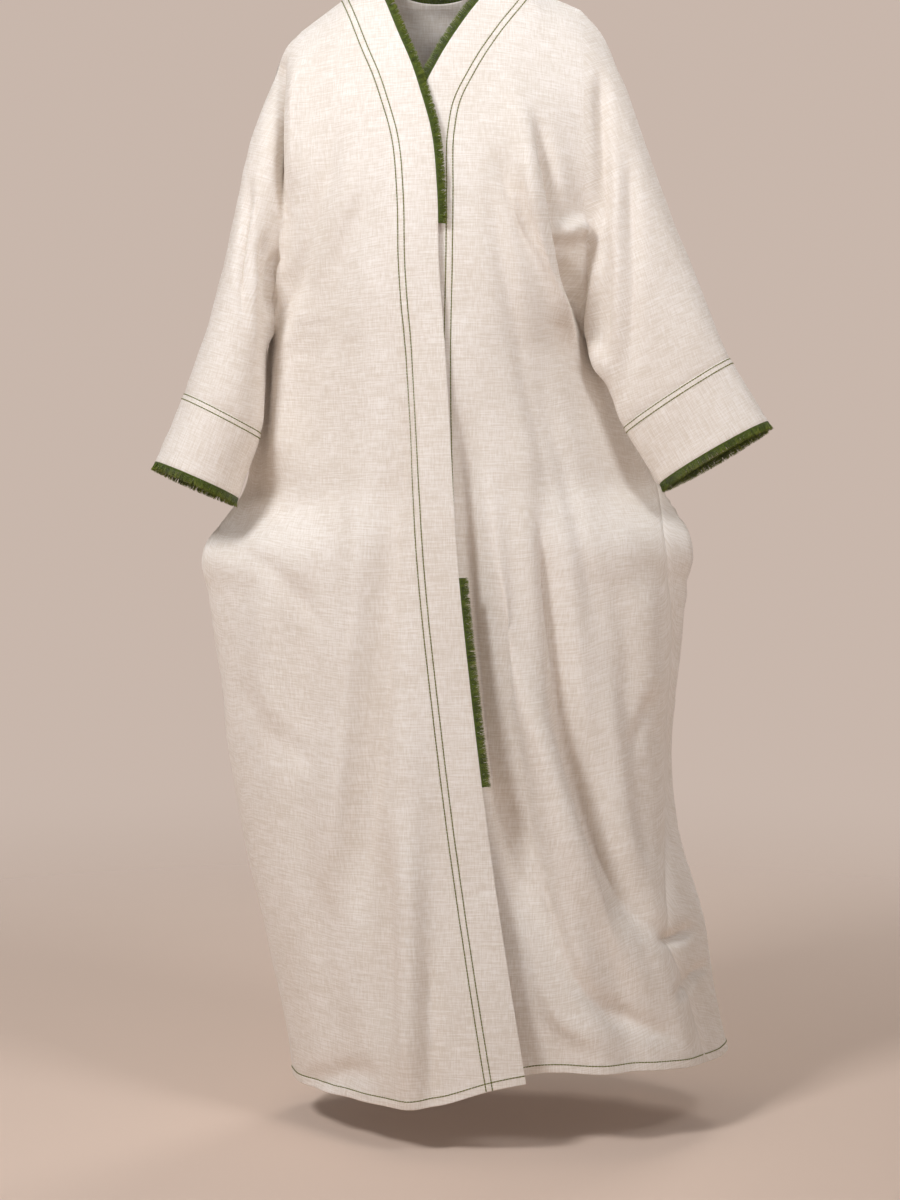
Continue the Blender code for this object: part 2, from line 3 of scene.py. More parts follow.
import bpy
import numpy as np
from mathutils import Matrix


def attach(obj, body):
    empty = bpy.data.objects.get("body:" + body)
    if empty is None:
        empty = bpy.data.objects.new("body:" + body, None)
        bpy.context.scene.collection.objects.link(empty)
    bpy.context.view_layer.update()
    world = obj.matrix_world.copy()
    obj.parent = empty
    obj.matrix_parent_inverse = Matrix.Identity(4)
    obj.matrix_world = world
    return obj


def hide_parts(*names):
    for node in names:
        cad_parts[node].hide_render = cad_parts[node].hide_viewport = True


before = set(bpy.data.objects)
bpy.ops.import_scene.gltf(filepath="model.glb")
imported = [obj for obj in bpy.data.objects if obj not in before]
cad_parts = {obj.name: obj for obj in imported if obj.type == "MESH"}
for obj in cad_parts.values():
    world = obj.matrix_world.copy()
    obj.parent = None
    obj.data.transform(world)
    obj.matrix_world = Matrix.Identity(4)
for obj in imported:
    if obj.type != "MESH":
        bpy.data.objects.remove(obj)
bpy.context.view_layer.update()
print("frame loaded")

# The front faces -Y, the wearer's left is +X, and the origin is on the shoulders at the
# base of the neck. The tables down to the hollows are in millimetres, and all else is in
# metres where no other unit is given.


def columnsOf(names, *rows):
    # one array in metres for each named column, but plain numbers for what is a share
    shares = ("round", "along", "share")
    return {
        name: np.array(column) / (1 if name in shares else 1000)
        for name, column in zip(names.split(), zip(*rows))
    }


# Body sections by drop below the shoulders: the X of the sides and the middle, the depth
# of the centre front and back, of the sides of each surface and of the side seams, and
# how round (1) or pinched (0) the sides are.
body = columnsOf(
    "drop right middle left front back sideFront sideBack side round",
    (0, -200, 0, 188, 15, 15, 10, 10, 10, 0.2),
    (10, -201, 0, 188, -12, 42, -8, 28, 10, 0.2),
    (35, -202, 0, 188, -34, 66, -24, 46, 10, 0.2),
    (80, -205, 0, 188, -60, 88, -40, 62, 10, 0.2),
    (150, -208, 0, 187, -90, 108, -55, 74, 10, 0.2),
    (240, -212, 0, 186, -119, 120, -58, 76, 10, 0.3),
    (340, -218, 0, 184, -132, 125, -42, 62, 12, 0.3),
    (440, -223, 0, 180, -137, 125, -12, 38, 12, 0.2),
    (470, -229, 0, 187, -139, 125, 6, 38, 28, 0.1),
    (500, -236, 0, 200, -140, 124, 18, 40, 34, 0.1),
    (560, -244, 0, 229, -143, 124, 32, 40, 37, 0),
    (620, -253, 2, 256, -146, 125, 36, 38, 37, 0),
    (660, -264, 4, 278, -148, 126, 38, 38, 38, 0),
    (690, -284, 5, 298, -150, 128, 22, 22, 22, 0.1),
    (725, -309, 6, 317, -151, 130, -12, -12, -12, 0.1),
    (790, -305, 8, 312, -154, 134, -15, -15, -15, 0.3),
    (900, -290, 14, 302, -160, 141, -11, -11, -11, 0.5),
    (1000, -280, 22, 294, -167, 148, -7, -7, -7, 0.6),
    (1120, -259, 34, 302, -178, 156, -4, -4, -4, 0.7),
    (1240, -231, 48, 336, -194, 165, -2, -2, -2, 0.8),
    (1330, -212, 58, 350, -208, 171, 0, 0, 0, 0.8),
    (1420, -198, 66, 369, -220, 176, 1, 1, 1, 0.8),
)

# The fronts' edges by height, and how far the under front is set back behind the other.
edges = columnsOf(
    "z lap under setback",
    (0, -92, 68, 0),
    (-30, -78, 46, 0),
    (-75, -60, 14, 0),
    (-121, -41, -13, 3),
    (-159, -29, -31, 6),
    (-195, -19, -38, 7),
    (-279, -10, -40, 8),
    (-363, -8, -41, 9),
    (-475, 0, -43, 10),
    (-598, 7, -42, 11),
    (-734, 15, -38, 12),
    (-902, 32, -30, 14),
    (-1080, 54, -18, 20),
    (-1249, 79, 0, 32),
    (-1390, 102, 20, 46),
)

# How far inside the garment's left side the side seam comes round to the front.
sideSeam = columnsOf(
    "drop inset",
    (440, 0),
    (620, 0),
    (660, 4),
    (690, 20),
    (725, 38),
    (760, 34),
    (810, 22),
    (880, 14),
    (970, 10),
    (1060, 10),
    (1120, 20),
    (1220, 50),
    (1260, 56),
    (1310, 44),
    (1420, 36),
)

# Rings along each sleeve: its upper and lower seams, their Y, how far the ring bulges to
# the front and back of them, and how far its front stands above its back.
ringNames = "along outerX outerZ innerX innerZ depth front back lean"
sleeves = {
    "right": columnsOf(
        ringNames,
        (0, -182, -68, -223, -440, 12, 66, 72, 0),
        (0.06, -204, -92, -224, -443, 10, 67, 72, 0),
        (0.14, -221, -134, -225, -448, 6, 67, 71, 0),
        (0.28, -243, -195, -227, -458, -2, 66, 70, 1),
        (0.5, -270, -315, -230, -482, -14, 66, 66, 2),
        (0.72, -304, -450, -232, -532, -26, 63, 63, 4),
        (0.85, -331, -529, -236, -578, -32, 62, 62, 6),
        (1, -367, -617, -266, -661, -40, 60, 60, 8),
    ),
    "left": columnsOf(
        ringNames,
        (0, 172, -42, 180, -440, 12, 66, 72, 0),
        (0.06, 200, -72, 185, -441, 10, 66, 72, 0),
        (0.14, 223, -124, 188, -446, 6, 66, 71, 0),
        (0.28, 249, -200, 190, -459, -2, 64, 68, 1),
        (0.5, 302, -339, 192, -484, -14, 56, 60, 3),
        (0.72, 344, -443, 211, -528, -26, 44, 50, 5),
        (0.85, 362, -484, 228, -571, -32, 37, 42, 7),
        (1, 409, -566, 275, -643, -38, 34, 38, 9),
    ),
}

# The hem's height across the garment.
hemLine = columnsOf(
    "x z",
    (-200, -1418),
    (-100, -1415),
    (-20, -1410),
    (60, -1385),
    (110, -1376),
    (240, -1375),
    (370, -1385),
)

# The broad folds that the fronts and the back hang in, as lines in the front view.
broadNames = "x0 z0 x1 z1 halfWidth height"
broadFolds = {
    "front": columnsOf(
        broadNames,
        (-80, -200, -185, -470, 30, -7),
        (-115, -340, -200, -640, 30, -6),
        (-120, -560, -110, -1240, 45, -9),
        (-50, -900, -45, -1440, 40, 11),
        (-165, -1120, -120, -1440, 35, -12),
        (95, -180, 205, -560, 22, 11),
        (70, -230, 150, -430, 24, -7),
        (75, -760, 105, -1180, 26, -12),
        (110, -620, 160, -1240, 32, 9),
        (130, -880, 250, -1440, 34, -13),
        (230, -780, 320, -1440, 34, 8),
    ),
    "back": columnsOf(
        broadNames,
        (-80, -300, -120, -1440, 45, -12),
        (-160, -700, -170, -1440, 35, 10),
        (-10, -260, -15, -1440, 50, 12),
        (70, -360, 85, -1440, 42, -13),
        (150, -620, 190, -1440, 40, 11),
        (240, -820, 290, -1440, 35, -10),
    ),
}

# The hollows between body and sleeve, as lines in the front view, and the share of the way
# that the cloth sinks to their depth there.
hollows = columnsOf(
    "x0 z0 x1 z1 halfWidth share",
    (-206, -300, -222, -480, 16, 0.7),
    (172, -310, 182, -480, 22, 0.75),
)

# How the cloth is shaped and how finely it is divided. More rows and columns carry smaller
# folds, at a cost in triangles.
cloak = {
    "underarmDrop": 0.44,
    "backNeckDip": 0.028,
    "setbackFade": 0.110,
    "joinStart": 0.55,
    "trimReach": 0.011,
    "cuffStart": 0.85,
    "ringSpread": 1.3,
    "hollowDepth": 0.014,
    "foldTail": 0.25,
    "foldFade": 0.035,
    "lapFade": 0.03,
    "smoothReach": 0.055,
    "smoothRounds": 110,
    "blurReach": 0.085,
    "blurRise": 1.6,
    "blurFade": 0.014,
    "blurWidth": 0.009,
    "blurRounds": 3,
    "thickness": 0.0013,
    "armRows": 84,
    "skirtRows": 188,
    "frontColumns": 54,
    "backColumns": 92,
    "shoulderColumns": 28,
    "sleeveColumns": 54,
    "cuffColumns": 18,
    "rowPoints": 161,
    "hemTurn": 0.010,
    "hemRows": (0.12, 0.2),  # how close the extra rows at the turn and the edge lie, in rows
    "hemRise": 0.0007,
    "hemStep": 0.0008,
    "hemStepAt": 0.75,
    "seamDip": 0.0008,
    "seamReach": 0.003,
}
armRows, skirtRows = cloak["armRows"], cloak["skirtRows"]
shoulder, across = cloak["shoulderColumns"], cloak["backColumns"]
underarm, hemDrop = cloak["underarmDrop"], body["drop"][-1]


def follow(table, column, at):
    # a smooth curve through one column of a table, by its first column
    keys = table[next(iter(table))]
    order = np.argsort(keys)
    keys, values = keys[order], table[column][order]
    slopes = np.gradient(values, keys)
    at = np.clip(at, keys[0], keys[-1])
    i = np.clip(np.searchsorted(keys, at) - 1, 0, len(keys) - 2)
    step = keys[i + 1] - keys[i]
    t = (at - keys[i]) / step
    return (
        values[i] * (1 + 2 * t) * (1 - t) ** 2
        + slopes[i] * step * t * (1 - t) ** 2
        + values[i + 1] * t**2 * (3 - 2 * t)
        - slopes[i + 1] * step * t**2 * (1 - t)
    )


def ease(t):
    t = np.clip(t, 0, 1)
    return t * t * (3 - 2 * t)


def unit(vectors):
    size = np.linalg.norm(vectors, axis=-1, keepdims=True)
    return vectors / np.maximum(size, 1e-12)


def ringPoint(side, along, turn):
    # turn 0 is the upper seam, +pi/2 the front, -pi/2 the back
    read = {name: follow(sleeves[side], name, along) for name in ringNames.split()[1:]}
    share = (1 - np.cos(turn)) / 2
    rise = np.sin(turn)
    reach = np.where(rise > 0, read["front"], read["back"])
    x = read["outerX"] + (read["innerX"] - read["outerX"]) * share
    z = read["outerZ"] + (read["innerZ"] - read["outerZ"]) * share + read["lean"] * rise
    return np.stack([x, read["depth"] - reach * rise, z], axis=-1)


def rowTurns():
    # halfway between even turns round the sleeve and even drops down the armhole
    share = np.linspace(0, 1, armRows + 1)
    return (math.pi * share + np.arccos(1 - 2 * share)) / 2


def skirtHeight(x, share):
    # level under the arms, along the hem at the bottom
    return -underarm * (1 - share) + follow(hemLine, "z", x) * share


def rowEnds(face, row):
    # the drop of one row, and its ends at the armholes or the sides
    if row <= armRows:
        turn = rowTurns()[row]
        drop = underarm * (1 - math.cos(turn)) / 2
        sign = 1 if face == "front" else -1
        return drop, ringPoint("right", 0.0, sign * turn), ringPoint("left", 0.0, sign * turn)
    share = (row - armRows) / skirtRows
    drop = underarm + (hemDrop - underarm) * share
    xs = [float(follow(body, side, drop)) for side in ("right", "left")]
    y = float(follow(body, "side", drop))
    return drop, *(np.array([x, y, float(skirtHeight(x, share))]) for x in xs)


def bodyDepth(face, x, drop, right, left):
    middle = follow(body, "middle", drop)
    power = 1 - follow(body, "round", drop) / 2
    side = follow(body, "sideFront" if face == "front" else "sideBack", drop)
    endX = np.where(x < middle, right[0], left[0])
    endY = np.where(x < middle, right[1], left[1])
    out = np.clip((x - middle) / (endX - middle), 0, 1)
    section = side + (follow(body, face, drop) - side) * (1 - out**2) ** power
    turned = ease((out - cloak["joinStart"]) / (1 - cloak["joinStart"])) ** 2
    return section + (endY - side) * turned


def lengthsAlong(line):
    return np.concatenate([[0], np.cumsum(np.linalg.norm(np.diff(line, axis=0), axis=1))])


def pointsAt(line, length, at):
    return np.stack([np.interp(at, length, line[:, axis]) for axis in range(line.shape[1])], axis=1)


def evenPoints(line, count):
    length = lengthsAlong(line)
    return pointsAt(line, length, np.linspace(0, length[-1], count + 1))


def nearEnd(start, end):
    return start + (end - start) * np.sin(np.linspace(0, math.pi / 2, cloak["rowPoints"]))


def frontLine(side, row):
    column = "lap" if side == "right" else "under"
    drop, right, left = rowEnds("front", row)
    end = right if side == "right" else left
    share = (row - armRows) / skirtRows
    startZ = -drop
    startX = follow(edges, column, startZ)
    if row > armRows:
        startZ = skirtHeight(startX, share)
        startX = follow(edges, column, startZ)
    x = nearEnd(startX, end[0])
    if row > armRows:
        z = skirtHeight(x, share)
    else:
        z = startZ + (end[2] - startZ) * (x - startX) / (end[0] - startX)
    y = bodyDepth("front", x, drop, right, left)
    if side == "left":
        beyond = x - follow(edges, "lap", z) - cloak["trimReach"]
        y = y + follow(edges, "setback", z) * (1 - ease(beyond / cloak["setbackFade"]))
    return np.stack([x, y, z], axis=1)


def sideSeamPoint(row):
    line = frontLine("left", row)
    seamX = line[-1, 0] - follow(sideSeam, "inset", rowEnds("front", row)[0])
    seam = np.array([np.interp(seamX, line[:, 0], line[:, axis]) for axis in range(3)])
    return line, seam


def frontRow(side, row):
    count = cloak["frontColumns"]
    if side == "right" or row <= armRows:
        return evenPoints(frontLine(side, row), count)
    line, seam = sideSeamPoint(row)
    return evenPoints(np.concatenate([line[line[:, 0] < seam[0]], seam[None]]), count)


def turnedRow(row):
    # what the back adds where it comes round the left side to the seam
    if row <= armRows:
        return np.empty((0, 3))
    line, seam = sideSeamPoint(row)
    return np.concatenate([line[line[:, 0] > seam[0]][:-1][::-1], seam[None]])


def backRow(row):
    drop, right, left = rowEnds("back", row)
    lap, under = edges["lap"][0], edges["under"][0]
    middle = float(follow(body, "middle", drop))
    x = np.concatenate([nearEnd(middle, right[0])[::-1], nearEnd(middle, left[0])[1:]])
    x = np.sort(np.concatenate([x, [lap, under]]))
    if row > armRows:
        z = skirtHeight(x, (row - armRows) / skirtRows)
        drops = np.full_like(x, drop)
    else:
        centre, half = (lap + under) / 2, (under - lap) / 2
        dip = cloak["backNeckDip"] * np.maximum(1 - ((x - centre) / half) ** 2, 0)
        drops = drop + dip * (1 - drop / underarm)
        beyondRight = np.maximum(lap - x, 0) / (lap - right[0])
        beyondLeft = np.maximum(x - under, 0) / (left[0] - under)
        z = -drops + (right[2] + drop) * beyondRight + (left[2] + drop) * beyondLeft
    line = np.stack([x, bodyDepth("back", x, drops, right, left), z], axis=1)
    # the columns that start at the neck's two ends drift to even spacing by the underarm
    even = np.array([shoulder, across - shoulder]) / across
    length = lengthsAlong(line)
    atNeck = np.interp([lap, under], x, length / length[-1])
    splits = np.interp(atNeck + (even - atNeck) * min(row / armRows, 1), length / length[-1], x)
    ends = pointsAt(line, x, splits)
    inner = line[(x > splits[0]) & (x < splits[1])]
    outer = np.concatenate([ends[1:], line[x > splits[1]], turnedRow(row)])
    parts = [
        evenPoints(np.concatenate([line[x < splits[0]], ends[:1]]), shoulder),
        evenPoints(np.concatenate([ends[:1], inner, ends[1:]]), across - 2 * shoulder)[1:],
        evenPoints(outer, shoulder)[1:],
    ]
    return np.concatenate(parts)


def sleeveHalf(side, face):
    turns = rowTurns() * (1 if face == "front" else -1)
    steps = np.linspace(0, 1, cloak["sleeveColumns"] + 1) ** cloak["ringSpread"]
    along, turn = np.meshgrid(cloak["cuffStart"] * steps, turns)
    return ringPoint(side, along, turn)


def gridQuads(index, flipped):
    corners = [index[:-1, :-1], index[1:, :-1], index[1:, 1:], index[:-1, 1:]]
    quads = np.stack(corners, axis=-1).reshape(-1, 4)
    return quads[:, ::-1] if flipped else quads


def gridLengths(grid, axis):
    steps = np.linalg.norm(np.diff(grid, axis=axis), axis=2)
    return np.insert(np.cumsum(steps, axis=axis), 0, 0, axis=axis)


def surfaceNormals(points, quads):
    a, b, c, d = (points[quads[:, k]] for k in range(4))
    facing = np.cross(c - a, d - b)
    total = np.zeros_like(points)
    for k in range(4):
        for axis in range(3):
            total[:, axis] += np.bincount(quads[:, k], facing[:, axis], len(points))
    return unit(total)


def nearness(points, others):
    # the distance from each point to the nearest of the others, in batches to save memory
    parts = np.array_split(points, len(points) // 4000 + 1)
    squares = [((part[:, None] - others[None]) ** 2).sum(axis=2).min(axis=1) for part in parts]
    return np.sqrt(np.concatenate(squares))


def broadWeight(points, table, row):
    start = np.array([table["x0"][row], table["z0"][row]])
    along = np.array([table["x1"][row], table["z1"][row]]) - start
    length = np.linalg.norm(along)
    along = along / length
    offset = points[:, [0, 2]] - start
    down = offset @ along
    out = offset @ np.array([along[1], -along[0]])
    fade = cloak["foldTail"] * length
    ends = ease((down + fade) / (2 * fade)) * ease((length + fade - down) / (2 * fade))
    return np.exp(-2 * (out / table["halfWidth"][row]) ** 2) * ends


def sinkBroad(cloth, face):
    points = cloth["points"]
    free = ease(cloth["seamGaps"] / cloak["foldFade"])
    for row in range(len(hollows["x0"])):
        share = hollows["share"][row] * broadWeight(points, hollows, row) * free
        points[:, 1] += (cloak["hollowDepth"] - points[:, 1]) * share
    folds = broadFolds[face]
    sign = -1 if face == "front" else 1
    for row in range(len(folds["x0"])):
        points[:, 1] += sign * folds["height"][row] * broadWeight(points, folds, row) * free


def soften(cloth, lines):
    # runs body and sleeve smoothly into each other
    points, quads = cloth["points"], cloth["quads"]
    held = np.zeros(len(points), bool)
    held[np.concatenate(cloth["seams"] + cloth["rims"])] = True
    near = nearness(points, points[np.concatenate(lines)][::3]) < cloak["smoothReach"]
    moving = near & ~held
    ends = np.concatenate([quads[:, [k, (k + 1) % 4]] for k in range(4)])
    ends = ends[near[ends].any(axis=1)]
    count = np.bincount(ends.ravel(), minlength=len(points))[:, None]
    for _ in range(cloak["smoothRounds"]):
        total = np.zeros_like(points)
        for axis in range(3):
            total[:, axis] += np.bincount(ends[:, 0], points[ends[:, 1], axis], len(points))
            total[:, axis] += np.bincount(ends[:, 1], points[ends[:, 0], axis], len(points))
        average = total[moving] / count[moving]
        points[moving] = (points[moving] + average) / 2


def blur(cloth, lines):
    # evens out the underarm, where the rows crowd together, by a weighted mean nearby
    points, quads = cloth["points"], cloth["quads"]
    a, b, c, d = (points[quads[:, k]] for k in range(4))
    patch = np.linalg.norm(np.cross(c - a, d - b), axis=1) / 8
    areas = sum(np.bincount(quads[:, k], patch, len(points)) for k in range(4))
    gaps = nearness(points, points[np.concatenate(lines)][::3])
    pull = ease(cloak["blurRise"] * (1 - gaps / cloak["blurReach"]))
    pull *= ease(cloth["seamGaps"] / cloak["blurFade"])
    moving = np.flatnonzero(pull > 0.01)  # the rest would hardly move
    source = np.flatnonzero(gaps < cloak["blurReach"] + 2 * cloak["blurWidth"])
    for _ in range(cloak["blurRounds"]):
        near, weight = points[source], areas[source]
        for part in np.array_split(moving, len(moving) // 400 + 1):
            own = points[part]
            square = (own**2).sum(axis=1)[:, None] + (near**2).sum(axis=1) - 2 * own @ near.T
            share = np.exp(-square / (2 * cloak["blurWidth"] ** 2)) * weight
            mean = share @ near / share.sum(axis=1, keepdims=True)
            points[part] += (mean - points[part]) * pull[part][:, None]


def numbered(grid, first=0):
    # a number for each point of a grid
    return first + np.arange(grid.shape[0] * grid.shape[1]).reshape(grid.shape[:2])


def clothFrom(bodyGrid, halves, face, flipped):
    # a body grid with half sleeves joined on at its armhole columns
    index = numbered(bodyGrid)
    points = [bodyGrid.reshape(-1, 3)]
    quads = [gridQuads(index, flipped)]
    sleeveIndex = []
    count = index.size
    for side, column, flip in halves:
        half = sleeveHalf(side, face)[:, 1:]
        armhole = index[: armRows + 1, column]
        added = numbered(half, count)
        count += added.size
        sleeve = np.column_stack([armhole, added])
        points.append(half.reshape(-1, 3))
        quads.append(gridQuads(sleeve, flip))
        sleeveIndex.append(sleeve)
    return {
        "points": np.concatenate(points),
        "quads": np.concatenate(quads),
        "index": index,
        "sleeves": sleeveIndex,
    }


def layFlat(cloth, face, mirrored):
    # flat is how far each point lies from the front edge and the top, and weave is where
    # each corner of a face lies along and across the threads
    points, quads, index = cloth["points"], cloth["quads"], cloth["index"]
    middle = index.shape[1] // 2 if face == "back" else 0
    grid = points[index]
    beside = gridLengths(grid, 1)
    beside = beside - beside[:, middle : middle + 1]
    upright = grid[:, middle, 0][:, None] + (-beside if mirrored else beside)
    fall = gridLengths(grid * (0, 1, 1), 0) - grid[:1, :, 2]
    flat, onBody = np.zeros((len(points), 2)), np.zeros((len(points), 2))
    flat[index] = np.stack([beside, gridLengths(grid, 0)], axis=-1)
    onBody[index] = np.stack([upright, fall], axis=-1)
    onSleeves = onBody.copy()
    for sleeve, column in zip(cloth["sleeves"], (0, -1) if face == "back" else (-1,)):
        grid = points[sleeve]
        out = gridLengths(grid, 1)[:, 1:] * (1 if column == -1 else -1)
        out = out + beside[: armRows + 1, column][:, None]
        flat[sleeve[:, 1:]] = np.stack([out, gridLengths(grid, 0)[:, 1:]], axis=-1)
        # on a sleeve the threads lie along it and straight round it
        way = unit((grid[:, -1].mean(axis=0) - grid[:, 0].mean(axis=0)) * (1, 0, 1))
        width = grid @ np.array([way[2], 0, -way[0]])
        steps = np.hypot(np.diff(width, axis=0), np.diff(grid[..., 1], axis=0))
        around = np.insert(np.cumsum(steps, axis=0), 0, 0, axis=0)
        onSleeves[sleeve] = np.stack([around, grid @ way], axis=-1)
    bodyQuads = (index.shape[0] - 1) * (index.shape[1] - 1)
    corners = [onBody[quads[:bodyQuads]], onSleeves[quads[bodyQuads:]]]
    cloth["flat"], cloth["weave"] = flat, np.concatenate(corners).reshape(-1, 2)


def bodyRows():
    # whole rows, and a few closer ones where the hem is turned
    last = armRows + skirtRows
    turn = last - cloak["hemTurn"] * skirtRows / (hemDrop - underarm)
    atTurn, atEdge = cloak["hemRows"]
    return sorted([*range(last + 1), turn - atTurn, turn + atTurn, last - atEdge])


def shapeCloth(cloth, face, armholes, mirrored=False):
    seams = np.concatenate(cloth["seams"])
    cloth["seamGaps"] = nearness(cloth["points"], cloth["points"][seams])
    sinkBroad(cloth, face)
    soften(cloth, armholes)
    blur(cloth, armholes)
    layFlat(cloth, face, mirrored)
    return cloth


def frontCloth(side):
    grid = np.array([frontRow(side, row) for row in bodyRows()])
    flipped = side == "right"
    cloth = clothFrom(grid, [(side, -1, flipped)], "front", flipped)
    index, sleeve = cloth["index"], cloth["sleeves"][0]
    cloth["seams"] = [index[0], index[armRows:, -1], sleeve[0], sleeve[-1], sleeve[:, -1]]
    cloth["rims"] = [index[:, 0], index[-1]]
    return shapeCloth(cloth, "front", [index[: armRows + 1, -1]], flipped)


def backCloth():
    grid = np.array([backRow(row) for row in bodyRows()])
    cloth = clothFrom(grid, [("right", 0, False), ("left", -1, True)], "back", True)
    index = cloth["index"]
    right, left = cloth["sleeves"]
    cloth["seams"] = [index[0, : shoulder + 1], index[0, across - shoulder :]]
    cloth["seams"] += [index[armRows:, 0], index[armRows:, -1]]
    cloth["seams"] += [right[0], right[-1], left[0], left[-1], right[:, -1], left[:, -1]]
    cloth["rims"] = [index[0, shoulder : across - shoulder + 1], index[-1]]
    armholes = [index[: armRows + 1, 0], index[: armRows + 1, -1]]
    return shapeCloth(cloth, "back", armholes)


def cuffCloth(side):
    turns = np.concatenate([rowTurns(), 2 * math.pi - rowTurns()[-2::-1]])
    steps = np.linspace(cloak["cuffStart"], 1, cloak["cuffColumns"] + 1)
    along, turn = np.meshgrid(steps, turns)
    grid = ringPoint(side, along, turn)
    flat = np.stack([gridLengths(grid, 1), gridLengths(grid, 0)], axis=-1)[:-1].reshape(-1, 2)
    grid = grid[:-1]
    index = numbered(grid)
    quads = gridQuads(np.concatenate([index, index[:1]]), side == "right")
    cloth = {
        "points": grid.reshape(-1, 3),
        "quads": quads,
        "flat": flat,
        "weave": flat[quads.ravel()],
        "index": index,
        "seams": [index[:, 0]],
        "rims": [index[:, -1]],
    }
    cloth["seamGaps"] = nearness(cloth["points"], cloth["points"][index[:, 0]])
    return cloth


